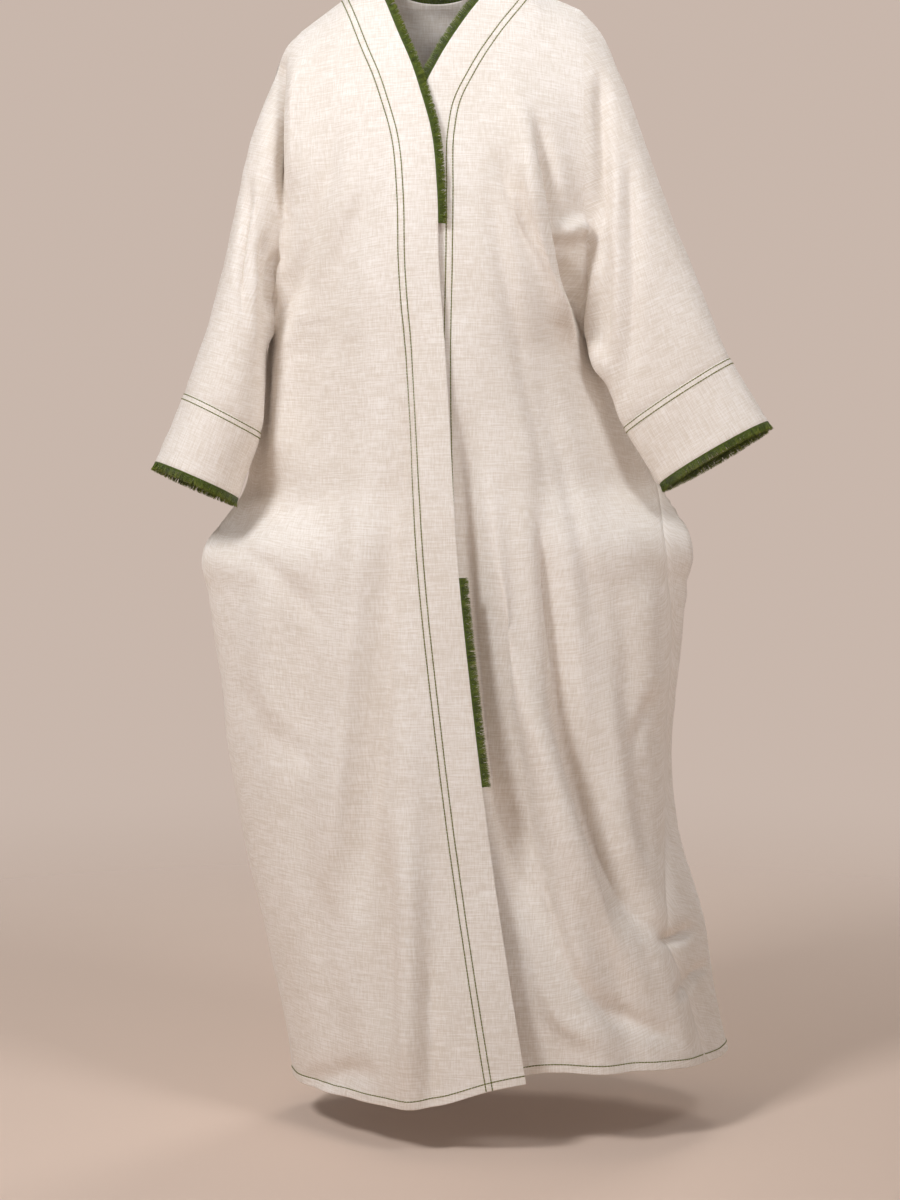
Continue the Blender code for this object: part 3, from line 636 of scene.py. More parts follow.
# Smaller folds as (path in X and Z in cm, width on each side in mm, height in mm): over
# zero is a ridge and under zero a trough.
fineFolds = {
    "frontRight": [
        ([(-5, -40), (-5.5, -56), (-7, -76), (-9, -97), (-12.5, -128)], 26, 22, -18),
        ([(-10, -56), (-11, -78), (-13, -99), (-15, -120)], 28, 26, 13.5),
        ([(-15, -64), (-16, -82), (-17.5, -104)], 28, 30, -10.5),
        ([(1.5, -115), (4, -114.5), (6.5, -114)], 6, 6, -1.8),
        ([(-6.5, -23), (-12, -33), (-17, -47), (-20.5, -60)], 24, 28, -9),
        ([(-12.5, -17), (-15.5, -27), (-19, -39), (-22, -49)], 14, 30, -12),
        ([(-18, -38), (-19, -48), (-20, -58), (-21, -67)], 34, 30, 21),
        ([(-9, -20), (-13.5, -35), (-18.5, -54)], 18, 18, 6),
        ([(-27, -88), (-24, -93), (-19.5, -98), (-15, -101)], 26, 24, -4.5),
        ([(-5, -103), (-4.5, -118), (-4.5, -145)], 20, 20, 15),
        ([(-7.5, -106), (-7.5, -120), (-7, -136)], 22, 20, -12),
        ([(-2, -119), (-2, -133), (-1.5, -147)], 14, 14, -7.5),
        ([(-19, -142), (-13.5, -139), (-7.5, -137)], 22, 20, -9),
        ([(-20.5, -35.5), (-21.5, -39), (-22, -41)], 6, 6, 6),
        ([(-20, -36.5), (-20.5, -41), (-21.5, -44)], 6, 6, -6),
        ([(-18, -74), (-18.5, -91), (-18.5, -117)], 25, 25, -7.5),
        ([(-22, -74), (-23, -84), (-22.5, -99)], 25, 25, 7.5),
        ([(-30.5, -72.5), (-23.5, -74), (-14.5, -83.5)], 18, 18, -4),
        ([(-30.5, -71.5), (-24.5, -69), (-14.5, -66)], 18, 18, -4),
        ([(-21, 6), (-21, -11), (-21, -20), (-20.5, -30), (-20, -35)], 17, 9, -12),
        ([(-21, 6), (-21, -11), (-21, -21), (-20.5, -30), (-20, -34.5)], 6, 5, -22.5),
        ([(-21.5, -34), (-22, -38.5), (-22.5, -44)], 9, 9, -13.5),
        ([(-18.5, -9), (-19, -18), (-19, -29)], 12, 14, 9),
        ([(-24.5, -24), (-25, -31), (-25.5, -37.5), (-25, -45)], 9, 9, -9),
        ([(-22.5, -32), (-23, -35), (-23, -41)], 7, 7, -7.5),
        ([(-24, -35), (-24.5, -41), (-24, -50)], 10, 10, 6),
    ],
    "frontLeft": [
        ([(11, -18), (13, -25), (14, -33), (16.5, -41), (20, -50), (21.5, -55)], 9, 9, -10.5),
        ([(9.5, -20), (11.5, -30), (14, -40), (17.5, -51)], 15, 8, 15),
        ([(4.5, -18), (7, -35), (10, -50), (13, -64), (15, -80)], 20, 16, -6),
        ([(6, -22.5), (9.5, -31), (12, -36.5)], 12, 12, -6),
        ([(11, -16.5), (12.5, -23.5), (14, -31), (15, -37.5), (17, -44)], 9, 14, -15),
        ([(14, -34), (15.5, -32), (17, -31.5), (18.5, -33)], 24, 9, 16.5),
        ([(15, -35.5), (16, -38), (17, -40.5), (18, -43.5)], 9, 9, -21),
        ([(20, -33), (19.5, -39), (19, -44), (20, -50), (21.5, -54)], 10, 14, 13.5),
        ([(10.5, -44), (14, -60), (17, -74), (20, -87)], 20, 20, -7.5),
        ([(12.5, -56), (15.5, -70), (18.5, -83)], 16, 16, 4.5),
        # the long fold from the middle out to the side at the hem, and the trough beside it
        (
            [(3, -56), (6, -74), (9.5, -88), (12.5, -98), (15, -107), (18.5, -116), (22.5, -124),
             (29, -130)], 28, 26, 22.5,
        ),
        (
            [(10.5, -60), (13, -74), (14.5, -86), (15.5, -95), (17.5, -103), (20, -111),
             (23.5, -117.5), (28, -121.5), (32.5, -121.5)], 26, 18, -31.5,
        ),
        ([(27, -121.5), (29, -122), (32, -121)], 9, 9, -12),
        ([(20.5, -86), (21.5, -100), (23.5, -111), (27, -117)], 24, 22, 10.5),
        ([(1.5, -50), (2.5, -62), (4, -78), (5.5, -93), (8.5, -107), (12, -117), (16, -124)], 24, 30, -33),
        ([(10.5, -110), (13.5, -120), (17, -126.5), (22, -130.5), (31.5, -135)], 18, 18, -13.5),
        ([(9.5, -113.5), (11, -123), (14.5, -130.5), (22, -134.5)], 18, 18, 7.5),
        ([(27, -90), (25, -94.5), (23, -99)], 12, 12, -4.5),
        ([(29, -130), (32, -127), (34.5, -127)], 9, 9, -7.5),
        ([(25.5, -74), (26, -84), (26.5, -94.5)], 22, 18, 6),
        ([(21, -74), (23, -85), (22.5, -96.5)], 20, 20, -4.5),
        ([(19.5, -11), (20, -21), (20, -28.5), (19.5, -34)], 14, 12, -12),
        ([(23, -20), (23.5, -31), (23.5, -43.5), (23, -55.5)], 13, 13, -7.5),
        ([(21.5, -22), (21.5, -36), (21.5, -51)], 11, 11, 6),
        ([(21, -33), (21, -41), (20.5, -48.5)], 7, 7, -6),
    ],
    "sides": [
        ([(17.5, -43.5), (18.5, -46), (19.5, -49), (20.5, -52)], 14, 14, 5),
    ],
    "back": [
        ([(-15, -8), (-16.5, -24), (-19, -42)], 16, 20, -9),
        ([(13, -7), (14, -23), (16, -43)], 16, 20, -9),
        ([(-6, -16), (-7.5, -42), (-7, -76)], 20, 26, 9),
        ([(4, -20), (5, -50), (4, -90)], 22, 18, -10.5),
        ([(10, -32), (12, -56), (12.5, -86)], 18, 24, 9),
        ([(-12, -50), (-14, -76), (-13.5, -110)], 22, 18, 10.5),
        ([(-29, -72), (-20, -74), (-11, -83)], 14, 16, -9),
        ([(-29, -71.5), (-21, -67), (-13, -62)], 13, 16, -7.5),
        ([(-28, -73.5), (-22, -82), (-19, -96)], 16, 14, 7.5),
        ([(30, -72), (22, -74), (14, -84)], 14, 16, -9),
        ([(30, -71.5), (22, -66), (15, -60)], 13, 15, -7.5),
        ([(29, -73.5), (24, -83), (21, -98)], 15, 16, 7.5),
        ([(-2, -80), (-3, -108), (-2, -146)], 20, 24, -13.5),
        ([(-7.5, -90), (-8.5, -118), (-9, -147)], 20, 18, 13.5),
        ([(7, -84), (9, -114), (10, -147)], 18, 24, 13.5),
        ([(13, -94), (16, -119), (18, -147)], 20, 20, -13.5),
        ([(21, -100), (24, -123), (27, -147)], 18, 20, 12),
        ([(-15, -100), (-15, -124), (-14, -147)], 16, 20, -10.5),
        ([(0.5, -116), (1, -130), (2, -147)], 14, 16, 9),
        ([(-20.5, -11), (-21, -22), (-20.5, -33)], 8, 9, -12),
        ([(18.5, -10), (19, -22), (18.5, -33)], 8, 9, -12),
        ([(-24, -20), (-25, -32), (-25.5, -46)], 10, 12, -9),
        ([(-26, -30), (-27.5, -40), (-29, -52)], 10, 10, 6),
        ([(22.5, -19), (23.5, -32), (24, -48)], 10, 12, -9),
        ([(26.5, -29), (28, -39), (30, -50)], 10, 10, 6),
    ],
}
foldStyle = {
    "tail": 0.30,
    "pathSteps": 28,
    "facing": 0.45,  # how far a surface must face the front or back to take its folds
    # height, shortest and longest wave, how much they are drawn out down the cloth, seed
    "ripples": ((0.0007, 0.05, 0.14, 5, 11), (0.00025, 0.016, 0.04, 1.6, 12)),
    "waves": 9,
    "sway": (1.5, 3),  # how far the waves wander to the side, and over how many lengths
    "reach": 2.2,  # in widths, past which a fold is under a thousandth of its height
}


def smoothPath(path):
    corners = np.array(path) / 100
    steps = lengthsAlong(corners)
    table = {"along": steps, "x": corners[:, 0], "z": corners[:, 1]}
    at = np.linspace(0, steps[-1], foldStyle["pathSteps"])
    return np.stack([follow(table, "x", at), follow(table, "z", at)], axis=1)


def foldHeights(points, folds):
    # every fold's height at every point, from the front view
    spots = points[:, [0, 2]]
    total = np.zeros(len(points))
    for path, left, right, height in folds:
        line = smoothPath(path)
        reach = 0.001 * foldStyle["reach"] * max(left, right)
        low, high = line.min(axis=0) - reach, line.max(axis=0) + reach
        near = np.flatnonzero(((spots > low) & (spots < high)).all(axis=1))
        if not len(near):
            continue
        start, run = line[:-1], np.diff(line, axis=0)
        offset = spots[near][:, None] - start[None]
        share = np.clip((offset * run).sum(axis=2) / (run**2).sum(axis=1), 0, 1)
        gap = offset - share[..., None] * run
        size = np.linalg.norm(gap, axis=2)
        nearest = size.argmin(axis=1)
        pick = (np.arange(len(near)), nearest)
        turned = run[nearest, 0] * gap[pick][:, 1] - run[nearest, 1] * gap[pick][:, 0]
        width = 0.001 * np.where(turned > 0, right, left)
        along = (nearest + share[pick]) / len(run)
        ends = ease(along / foldStyle["tail"]) * ease((1 - along) / foldStyle["tail"])
        total[near] += 0.001 * height * np.exp(-2 * (size[pick] / width) ** 2) * ends
    return total


def ripples(points, height, shortest, longest, upright, seed):
    # a sum of waves with seeded directions
    random = np.random.default_rng(seed)
    swayHeight, swayLength = foldStyle["sway"]
    total = np.zeros(len(points))
    for length in np.geomspace(shortest, longest, foldStyle["waves"]):
        direction = unit(random.normal(size=3) * np.array([1, 1, 1 / upright]))
        wave = points @ direction * 2 * math.pi / length
        sway = points @ unit(random.normal(size=3)) * 2 * math.pi / (swayLength * length)
        total += np.sin(wave + swayHeight * np.sin(sway) + random.uniform(0, 2 * math.pi))
    return height * total / math.sqrt(foldStyle["waves"])


def sharedNormals(cloths):
    # outward directions that agree where two pieces meet
    everywhere = np.concatenate([cloth["points"] for cloth in cloths])
    facing = np.concatenate([surfaceNormals(c["points"], c["quads"]) for c in cloths])
    keys = np.round(everywhere * 20000).astype(np.int64)  # on a grid of 0.05 mm
    same = np.unique(keys, axis=0, return_inverse=True)[1].ravel()
    total = np.stack([np.bincount(same, facing[:, axis]) for axis in range(3)], axis=1)
    ends = np.cumsum([len(cloth["points"]) for cloth in cloths])[:-1]
    return np.split(unit(total)[same], ends)


def dressCloth(cloth, normals, fronts):
    # folds, ripples, seams and the turned hem, then the final outward directions
    points = cloth["points"]
    forward = ease(-normals[:, 1] / foldStyle["facing"])
    backward = ease(normals[:, 1] / foldStyle["facing"])
    rise = foldHeights(points, fineFolds["back"]) * backward
    for front in fronts:
        heights = foldHeights(points, fineFolds[front]) * forward
        if front == "frontLeft":
            # no ridge pushes the under front through the other
            beyond = (points[:, 0] - follow(edges, "lap", points[:, 2])) / cloak["lapFade"]
            heights = np.where(heights < 0, heights, heights * ease(beyond))
        rise += heights
    rise += foldHeights(points, fineFolds["sides"])
    for settings in foldStyle["ripples"]:
        rise += ripples(points, *settings)
    rise -= cloak["seamDip"] * np.exp(-((cloth["seamGaps"] / cloak["seamReach"]) ** 2))
    above = nearness(points, points[cloth["rims"][-1]]) - cloak["hemTurn"]
    rise += cloak["hemRise"] * ease(cloak["hemStepAt"] - above / cloak["hemStep"])
    cloth["points"] = points + normals * rise[:, None]
    cloth["normals"] = surfaceNormals(cloth["points"], cloth["quads"])
    return cloth


def outerSide(cloth):
    return cloth["points"] + cloth["normals"] * cloak["thickness"]


# sRGB hex to linear
def colourOf(code):
    values = [int(code[k : k + 2], 16) / 255 for k in (1, 3, 5)]
    linear = [v / 12.92 if v <= 0.04045 else ((v + 0.055) / 1.055) ** 2.4 for v in values]
    return (*linear, 1)


def addNode(tree, kind, settings=None, inputs=None, stops=()):
    # an input is a value, or another node's output, which is linked, and the stops are a
    # colour ramp's, as (place, hex colour)
    node = tree.nodes.new(kind)
    for key, value in (settings or {}).items():
        setattr(node, key, value)
    for key, value in (inputs or {}).items():
        if isinstance(value, bpy.types.NodeSocket):
            tree.links.new(value, node.inputs[key])
        else:
            node.inputs[key].default_value = value
    for k, (at, code) in enumerate(stops):
        places = node.color_ramp.elements
        place = places[k] if k < len(places) else places.new(at)
        place.position = at
        place.color = colourOf(code)
    return node


def newMaterial(name, finish):
    material = bpy.data.materials.new(name)
    material.use_nodes = True
    shader = material.node_tree.nodes["Principled BSDF"]
    for key, value in finish.items():
        shader.inputs[key].default_value = value
    return material, material.node_tree, shader


# Linen woven from slub yarn, thick and thin in turn, left undyed and matt: the eye gets a
# cream ground with a loose cross-hatch of paler and darker threads.
linen = {
    "colours": ((0.25, "#E2D9CE"), (0.95, "#F6F1EC")),
    "finish": {
        "Roughness": 0.86,
        "Sheen Weight": 0.10,
        "Sheen Roughness": 0.5,
        "Specular IOR Level": 0.3,
    },
    # size across and down in metres, seed, detail, share of the relief, share of the tone
    "threads": (
        (0.0011, 0.014, 3.1, 2, 1, 0.75),  # real yarns lie 0.7 mm apart, too fine to show here
        (0.014, 0.0011, 8.4, 2, 1, 0.75),
        (0.00176, 0.0196, 15.2, 1, 1, 0.75),  # slubs, the thick stretches of a yarn
        (0.0364, 0.00187, 21.9, 1, 1.25, 0.9375),
        (0.0009, 0.006, 27, 2, 1, 0.35),  # fibres
        (0.006, 0.0009, 31, 2, 1, 0.35),
        (0.12, 0.18, 40, 2, 0, 0.4),  # uneven bleaching
    ),
    "toneStart": -1.59,
    "relief": {"Strength": 0.25, "Distance": 0.0006},
    "grooveWidth": 0.0016,
    "groove": {"Strength": 0.6, "Distance": 0.0008},
}


def linenMaterial(name, banded):
    material, tree, shader = newMaterial(name, linen["finish"])
    flat = addNode(tree, "ShaderNodeUVMap", {"uv_map": "cloth"}).outputs["UV"]
    relief, tone = 0.0, linen["toneStart"]
    for wide, tall, seed, detail, reliefShare, toneShare in linen["threads"]:
        stretch = {"Vector": flat, "Scale": (1 / wide, 1 / tall, 1), "Location": (seed, seed * 1.7, 0)}
        mapped = addNode(tree, "ShaderNodeMapping", None, stretch).outputs["Vector"]
        grain = {"Vector": mapped, "Scale": 1, "Detail": detail, "Roughness": 0.6}
        noise = addNode(tree, "ShaderNodeTexNoise", {"noise_dimensions": "2D"}, grain).outputs["Fac"]
        relief, tone = (
            addNode(
                tree, "ShaderNodeMath", {"operation": "MULTIPLY_ADD"}, {0: noise, 1: share, 2: total}
            ).outputs["Value"]
            for share, total in ((reliefShare, relief), (toneShare, tone))
        )
    ramp = addNode(tree, "ShaderNodeValToRGB", None, {"Fac": tone}, linen["colours"])
    tree.links.new(ramp.outputs["Color"], shader.inputs["Base Color"])
    bump = addNode(tree, "ShaderNodeBump", None, {"Height": relief, **linen["relief"]})
    if banded:
        # the cloth sinks a little along each row of stitches, in a bell-shaped groove
        edge = addNode(tree, "ShaderNodeUVMap", {"uv_map": "edge"}).outputs["UV"]
        inward = addNode(tree, "ShaderNodeSeparateXYZ", None, {"Vector": edge}).outputs["X"]
        dips = 0.0
        for at in stitching["fromEdge"]:
            dip = inward
            bell = (("SUBTRACT", at), ("DIVIDE", linen["grooveWidth"]), ("POWER", 2), ("MULTIPLY", -1))
            for operation, other in (*bell, ("EXPONENT", 0), ("ADD", dips)):
                step = addNode(tree, "ShaderNodeMath", {"operation": operation}, {0: dip, 1: other})
                dip = step.outputs["Value"]
            dips = dip
        sunk = {"Height": dips, "Normal": bump.outputs["Normal"], **linen["groove"]}
        bump = addNode(tree, "ShaderNodeBump", {"invert": True}, sunk)
    tree.links.new(bump.outputs["Normal"], shader.inputs["Normal"])
    return material


# Polyester topstitching thread, twisted and slightly glossy, in an olive that the eye
# reads as a fine dark line on the cream cloth.
stitching = {
    "fromEdge": (0.042, 0.050),
    "fromCuffSeam": (0.0020, 0.0085),
    "fromHem": 0.010,
    "pitch": 0.0040,
    "length": 0.0039,
    "radius": 0.00078,  # real thread is 0.4 mm thick, a little too fine to show here
    "flatness": 0.7,
    "lift": 0.00025,
    # share of the length, share of the lift, share of the radius
    "profile": ((0, -1, 0.7), (0.18, 0.4, 0.95), (0.5, 1, 1), (0.82, 0.4, 0.95), (1, -1, 0.7)),
    "sides": 5,
    "twist": 900,  # light and dark patches of the twist in a metre
    "colours": ((0.3, "#565A1A"), (0.7, "#82833A")),
    "finish": {"Roughness": 0.55},
}


def threadMaterial():
    material, tree, shader = newMaterial("twisted olive polyester thread", stitching["finish"])
    spot = addNode(tree, "ShaderNodeTexCoord").outputs["Object"]
    grain = {"Vector": spot, "Scale": stitching["twist"], "Detail": 1}
    noise = addNode(tree, "ShaderNodeTexNoise", None, grain).outputs["Fac"]
    ramp = addNode(tree, "ShaderNodeValToRGB", None, {"Fac": noise}, stitching["colours"])
    tree.links.new(ramp.outputs["Color"], shader.inputs["Base Color"])
    return material


# Cut cotton fringe on a narrow woven heading, moss green: a dense brushed edge, with painted
# shade darkening the roots where the threads crowd and painted light on the tips.
fringe = {
    "pitch": 0.00055,
    "layers": 3,
    "width": 0.00033,
    "flatness": 0.7,
    "reach": 0.0122,
    # share of the reach, share of the width
    "profile": ((0.06, 1), (0.4, 1.1), (0.75, 0.9), (1, 0.3)),
    "clump": 0.0026,
    "gather": 0.5,
    # how much the clumps and then the threads in them vary
    "lean": (0.16, 0.08),
    "lift": (0.12, 0.06),
    "short": (0.09, 0.04),
    "shade": (0.8, 0.2),
    "layerLift": 0.05,
    "layerGap": 0.0004,
    "sides": 3,
    # share of the tone given to painted light along a thread: painted shade at the root, painted light at
    # the tip
    "tipPaintedLight": 0.5,
    "heading": 0.0030,
    "headingStep": 0.002,
    "headingThick": (0.0007, 0.0002),
    "headingSides": 8,
    "headingTone": (0.3, 0.2),
    # the ramp's dark end also serves the painted shade at the roots, and its light end the painted light
    # at the tips
    "colours": ((0.1, "#2B350A"), (0.55, "#566716"), (1, "#939C3C")),
    "finish": {"Roughness": 0.9, "Sheen Weight": 0.15},
    "seed": 23,
}


def fringeMaterial():
    # each thread's own tone, plus painted light towards its tip and painted shade at its root
    material, tree, shader = newMaterial("cut moss green cotton fringe", fringe["finish"])
    flat = addNode(tree, "ShaderNodeUVMap", {"uv_map": "cloth"}).outputs["UV"]
    parts = addNode(tree, "ShaderNodeSeparateXYZ", None, {"Vector": flat})
    both = {0: parts.outputs["X"], 1: 1 - fringe["tipPaintedLight"], 2: parts.outputs["Y"]}
    tone = addNode(tree, "ShaderNodeMath", {"operation": "MULTIPLY_ADD"}, both).outputs["Value"]
    ramp = addNode(tree, "ShaderNodeValToRGB", None, {"Fac": tone}, fringe["colours"])
    tree.links.new(ramp.outputs["Color"], shader.inputs["Base Color"])
    return material


def addObject(name, data, at=(0, 0, 0), turn=(0, 0, 0)):
    thing = bpy.data.objects.new(name, data)
    thing.location = at
    thing.rotation_euler = turn
    bpy.context.scene.collection.objects.link(thing)
    return thing


def newPiece(name, points, faces, flat, material):
    # flat holds a UV for each corner of each face
    mesh = bpy.data.meshes.new(name)
    mesh.from_pydata(points.tolist(), [], [face.tolist() for face in faces])
    mesh.materials.append(material)
    mesh.uv_layers.new(name="cloth").uv.foreach_set("vector", flat.astype(np.float32).ravel())
    mesh.shade_smooth()
    return addObject(name, mesh)


def clothPiece(name, cloth, material):
    corners = cloth["quads"].ravel()
    piece = newPiece(name, cloth["points"], cloth["quads"], cloth["weave"], material)
    edge = piece.data.uv_layers.new(name="edge").uv
    edge.foreach_set("vector", np.abs(cloth["flat"][corners]).astype(np.float32).ravel())
    wall = piece.modifiers.new("wall", "SOLIDIFY")
    wall.thickness = cloak["thickness"]
    wall.offset = 1
    wall.use_quality_normals = True
    even = piece.modifiers.new("even shading", "WEIGHTED_NORMAL")
    even.weight = 100
    return piece


def threads(centres, side, up, width, thick, sides):
    # many closed threads at once, from (thread, ring, 3) centres and their half widths
    count, rings = centres.shape[:2]
    turns = 2 * math.pi * (np.arange(sides) + 0.5) / sides
    out = side[:, :, None] * (width[..., None] * np.cos(turns))[..., None]
    out = out + up[:, :, None] * (thick[..., None] * np.sin(turns))[..., None]
    points = (centres[:, :, None] + out).reshape(-1, 3)
    ring = np.arange(sides)
    after = (ring + 1) % sides
    base = (np.arange(count) * rings * sides)[:, None]
    first = base[:, None] + (np.arange(rings - 1) * sides)[None, :, None]
    corners = [first + ring, first + after, first + sides + after, first + sides + ring]
    walls = np.stack(corners, axis=-1).reshape(-1, 4)
    return points, walls, np.concatenate([base + ring[::-1], base + (rings - 1) * sides + ring])


def threadPiece(name, runs, material):
    # joins several lots of threads into one piece
    points, faces, flat, first = [], [], [], 0
    for lot, walls, caps, tones, along in runs:
        corner = np.stack([tones, along], axis=-1)
        for group in (walls, caps):
            faces += list(group + first)
            flat.append(corner[group.ravel()])
        points.append(lot)
        first += len(lot)
    return newPiece(name, np.concatenate(points), faces, np.concatenate(flat), material)


def stitchRun(line, normals, closed=False):
    if closed:
        line, normals = (np.concatenate([a, a[:1]]) for a in (line, normals))
    length = lengthsAlong(line)
    count = int(length[-1] / stitching["pitch"])
    start = stitching["pitch"] * np.arange(count)
    share, arch, thick = np.array(stitching["profile"]).T
    at = start[:, None] + stitching["length"] * share
    centre = pointsAt(line, length, at.ravel()).reshape(count, -1, 3)
    up = unit(pointsAt(normals, length, at.ravel())).reshape(count, -1, 3)
    centre = centre + up * (stitching["lift"] * arch)[None, :, None]
    side = unit(np.cross(up, unit(np.gradient(centre, axis=1))))
    size = np.broadcast_to(stitching["radius"] * thick, at.shape)
    made = threads(centre, side, up, size, size * stitching["flatness"], stitching["sides"])
    return *made, np.repeat(start, len(made[0]) // count), np.zeros(len(made[0]))


def linesAt(cloth, runs):
    # the place and outward direction at one distance along each run of points
    values = np.concatenate([outerSide(cloth), cloth["normals"]], axis=1)
    found = [[np.interp(at, gaps, values[run, k]) for k in range(6)] for run, gaps, at in runs]
    return np.array(found)[:, :3], unit(np.array(found)[:, 3:])


def lineAcross(cloth, at):
    # one distance in from the first column
    return linesAt(cloth, [(row, np.abs(cloth["flat"][row, 0]), at) for row in cloth["index"]])


def lineAboveHem(cloth):
    down = cloth["flat"][:, 1]
    columns = cloth["index"].T
    return linesAt(cloth, [(each, down[each], down[each[-1]] - stitching["fromHem"]) for each in columns])


def lineRoundNeck(cloth, at):
    # one distance in from the back neck's edge
    outer = outerSide(cloth)
    rows = cloth["index"][: armRows // 2]
    gaps = nearness(outer[rows.ravel()], outer[cloth["rims"][0]]).reshape(rows.shape)
    runs = []
    for points, gap in zip(rows.T, gaps.T):
        if gap[0] < at:
            beyond = int(np.argmax(gap > at))
            runs.append((points[beyond - 1 : beyond + 1], gap[beyond - 1 : beyond + 1], at))
    return linesAt(cloth, runs)


def fringeRun(root, out, normals, random, closed=False):
    if closed:
        root, out, normals = (np.concatenate([a, a[:1]]) for a in (root, out, normals))
    length = lengthsAlong(root)
    count = int(length[-1] / fringe["pitch"])
    share, widths = np.array(fringe["profile"]).T
    runs = []
    for layer in range(fringe["layers"]):
        at = (np.arange(count) + random.uniform(0, 1, count)) * fringe["pitch"]
        at = np.clip(at, 0, length[-1])
        foot, away, up = (pointsAt(each, length, at) for each in (root, out, normals))
        away, up = unit(away), unit(up)
        # the threads gather into clumps that lean and reach differently
        order = at / fringe["clump"] + layer / fringe["layers"]
        clump = order.astype(int)
        clumps = clump.max() + 1
        gather = (clump + 0.5 - order) * fringe["clump"] / fringe["reach"]
        lean, lift = (
            random.normal(0, most, clumps)[clump] + random.normal(0, own, count)
            for most, own in (fringe["lean"], fringe["lift"])
        )
        lean = lean + fringe["gather"] * gather
        lift = lift + fringe["layerLift"] * (layer - 1)
        short = np.abs(random.normal(0, fringe["short"][0], clumps))[clump]
        short = short + fringe["short"][1] * random.random(count)
        shade = random.random(clumps)[clump] * fringe["shade"][0]
        shade = shade + random.random(count) * fringe["shade"][1]
        run = (fringe["reach"] * (1 - short))[:, None] * share
        bend = unit(np.cross(up, away)) * lean[:, None] + up * lift[:, None]
        centre = foot[:, None] + away[:, None] * run[..., None]
        centre = centre + bend[:, None] * (run**2 / fringe["reach"])[..., None]
        centre = centre + up[:, None] * fringe["layerGap"] * (layer - 1)
        ups = np.repeat(up[:, None], len(share), axis=1)
        side = unit(np.cross(ups, unit(np.gradient(centre, axis=1))))
        width = np.broadcast_to(fringe["width"] * widths, run.shape)
        made = threads(centre, side, ups, width, width * fringe["flatness"], fringe["sides"])
        # painted light up each thread, from painted shade at the root to painted light at the tip
        height = np.tile(np.repeat(share * fringe["tipPaintedLight"], fringe["sides"]), count)
        runs.append((*made, np.repeat(shade, len(height) // count), height))
    # the woven heading that holds the threads
    steps = int(length[-1] / fringe["headingStep"])
    at = np.linspace(0, length[-1], steps)
    away, up = unit(pointsAt(out, length, at)), unit(pointsAt(normals, length, at))
    centre = pointsAt(root, length, at) + away * fringe["heading"] / 2
    half = np.full((1, steps), fringe["heading"] / 2)
    thick, rib = fringe["headingThick"]
    thick = thick + rib * np.cos(np.arange(steps) * math.pi)[None]
    made = threads(centre[None], -away[None], up[None], half, thick, fringe["headingSides"])
    runs.append((*made, *(np.full(len(made[0]), tone) for tone in fringe["headingTone"])))
    return runs


def edgeFrame(cloth, edge, behind):
    # a trimmed edge at the middle of the cloth's thickness, and the way out from it
    middle = cloth["points"] + cloth["normals"] * cloak["thickness"] / 2
    root, inner = middle[edge], middle[behind]
    along = unit(np.gradient(root, axis=0))
    out = root - inner
    out = unit(out - along * (out * along).sum(axis=1, keepdims=True))
    return root, out, cloth["normals"][edge]


def between(frameOf, top, bottom):
    root, out, up = frameOf
    keep = (root[:, 2] <= top) & (root[:, 2] >= bottom)
    return root[keep], out[keep], up[keep]


print("shaping the cloth")
plain = [frontCloth("right"), frontCloth("left"), backCloth(), cuffCloth("right"), cuffCloth("left")]
foldsOn = (("frontRight",), ("frontLeft",), ("frontRight", "frontLeft"), ("frontRight",), ("frontLeft",))
dressed = [dressCloth(*each) for each in zip(plain, sharedNormals(plain), foldsOn)]
right, left, back, cuffRight, cuffLeft = dressed

print("making the cloth pieces")
plainLinen = linenMaterial("woven slub linen", False)
bandLinen = linenMaterial("woven slub linen with faced edge", True)
# the CAD node each piece stands for, and the width, length and area it is cut to
clothPieces = {
    "frontRightCloth": (right, bandLinen, "front_right", (0.74, 1.43), 0.51),
    "frontLeftCloth": (left, bandLinen, "front_left", (0.72, 1.43), 0.51),
    "backCloth": (back, plainLinen, "back", (1.44, 1.45), 1.00),
    "cuffRightCloth": (cuffRight, plainLinen, "cuff_right", (0.37, 0.092), None),
    "cuffLeftCloth": (cuffLeft, plainLinen, "cuff_left", (0.37, 0.092), None),
}
made = {}
for name, (cloth, material, node, flat, area) in clothPieces.items():
    made[name] = clothPiece(name, cloth, material)
    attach(made[name], "root")
    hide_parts(node)

print("sewing the stitches")
thread = threadMaterial()
inset, seam = stitching["fromEdge"], stitching["fromCuffSeam"]
stitchLines = {
    "stitchesFrontRight": [*(lineAcross(right, at) for at in inset), lineAboveHem(right)],
    "stitchesFrontLeft": [*(lineAcross(left, at) for at in inset), lineAboveHem(left)],
    "stitchesBack": [*(lineRoundNeck(back, at) for at in inset), lineAboveHem(back)],
    "stitchesCuffRight": [lineAcross(cuffRight, at) for at in seam],
    "stitchesCuffLeft": [lineAcross(cuffLeft, at) for at in seam],
}
onCloth = {}
for (name, lines), cloth in zip(stitchLines.items(), clothPieces):
    piece = threadPiece(name, [stitchRun(*line, "Cuff" in name) for line in lines], thread)
    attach(piece, "root")
    onCloth[cloth] = [piece]

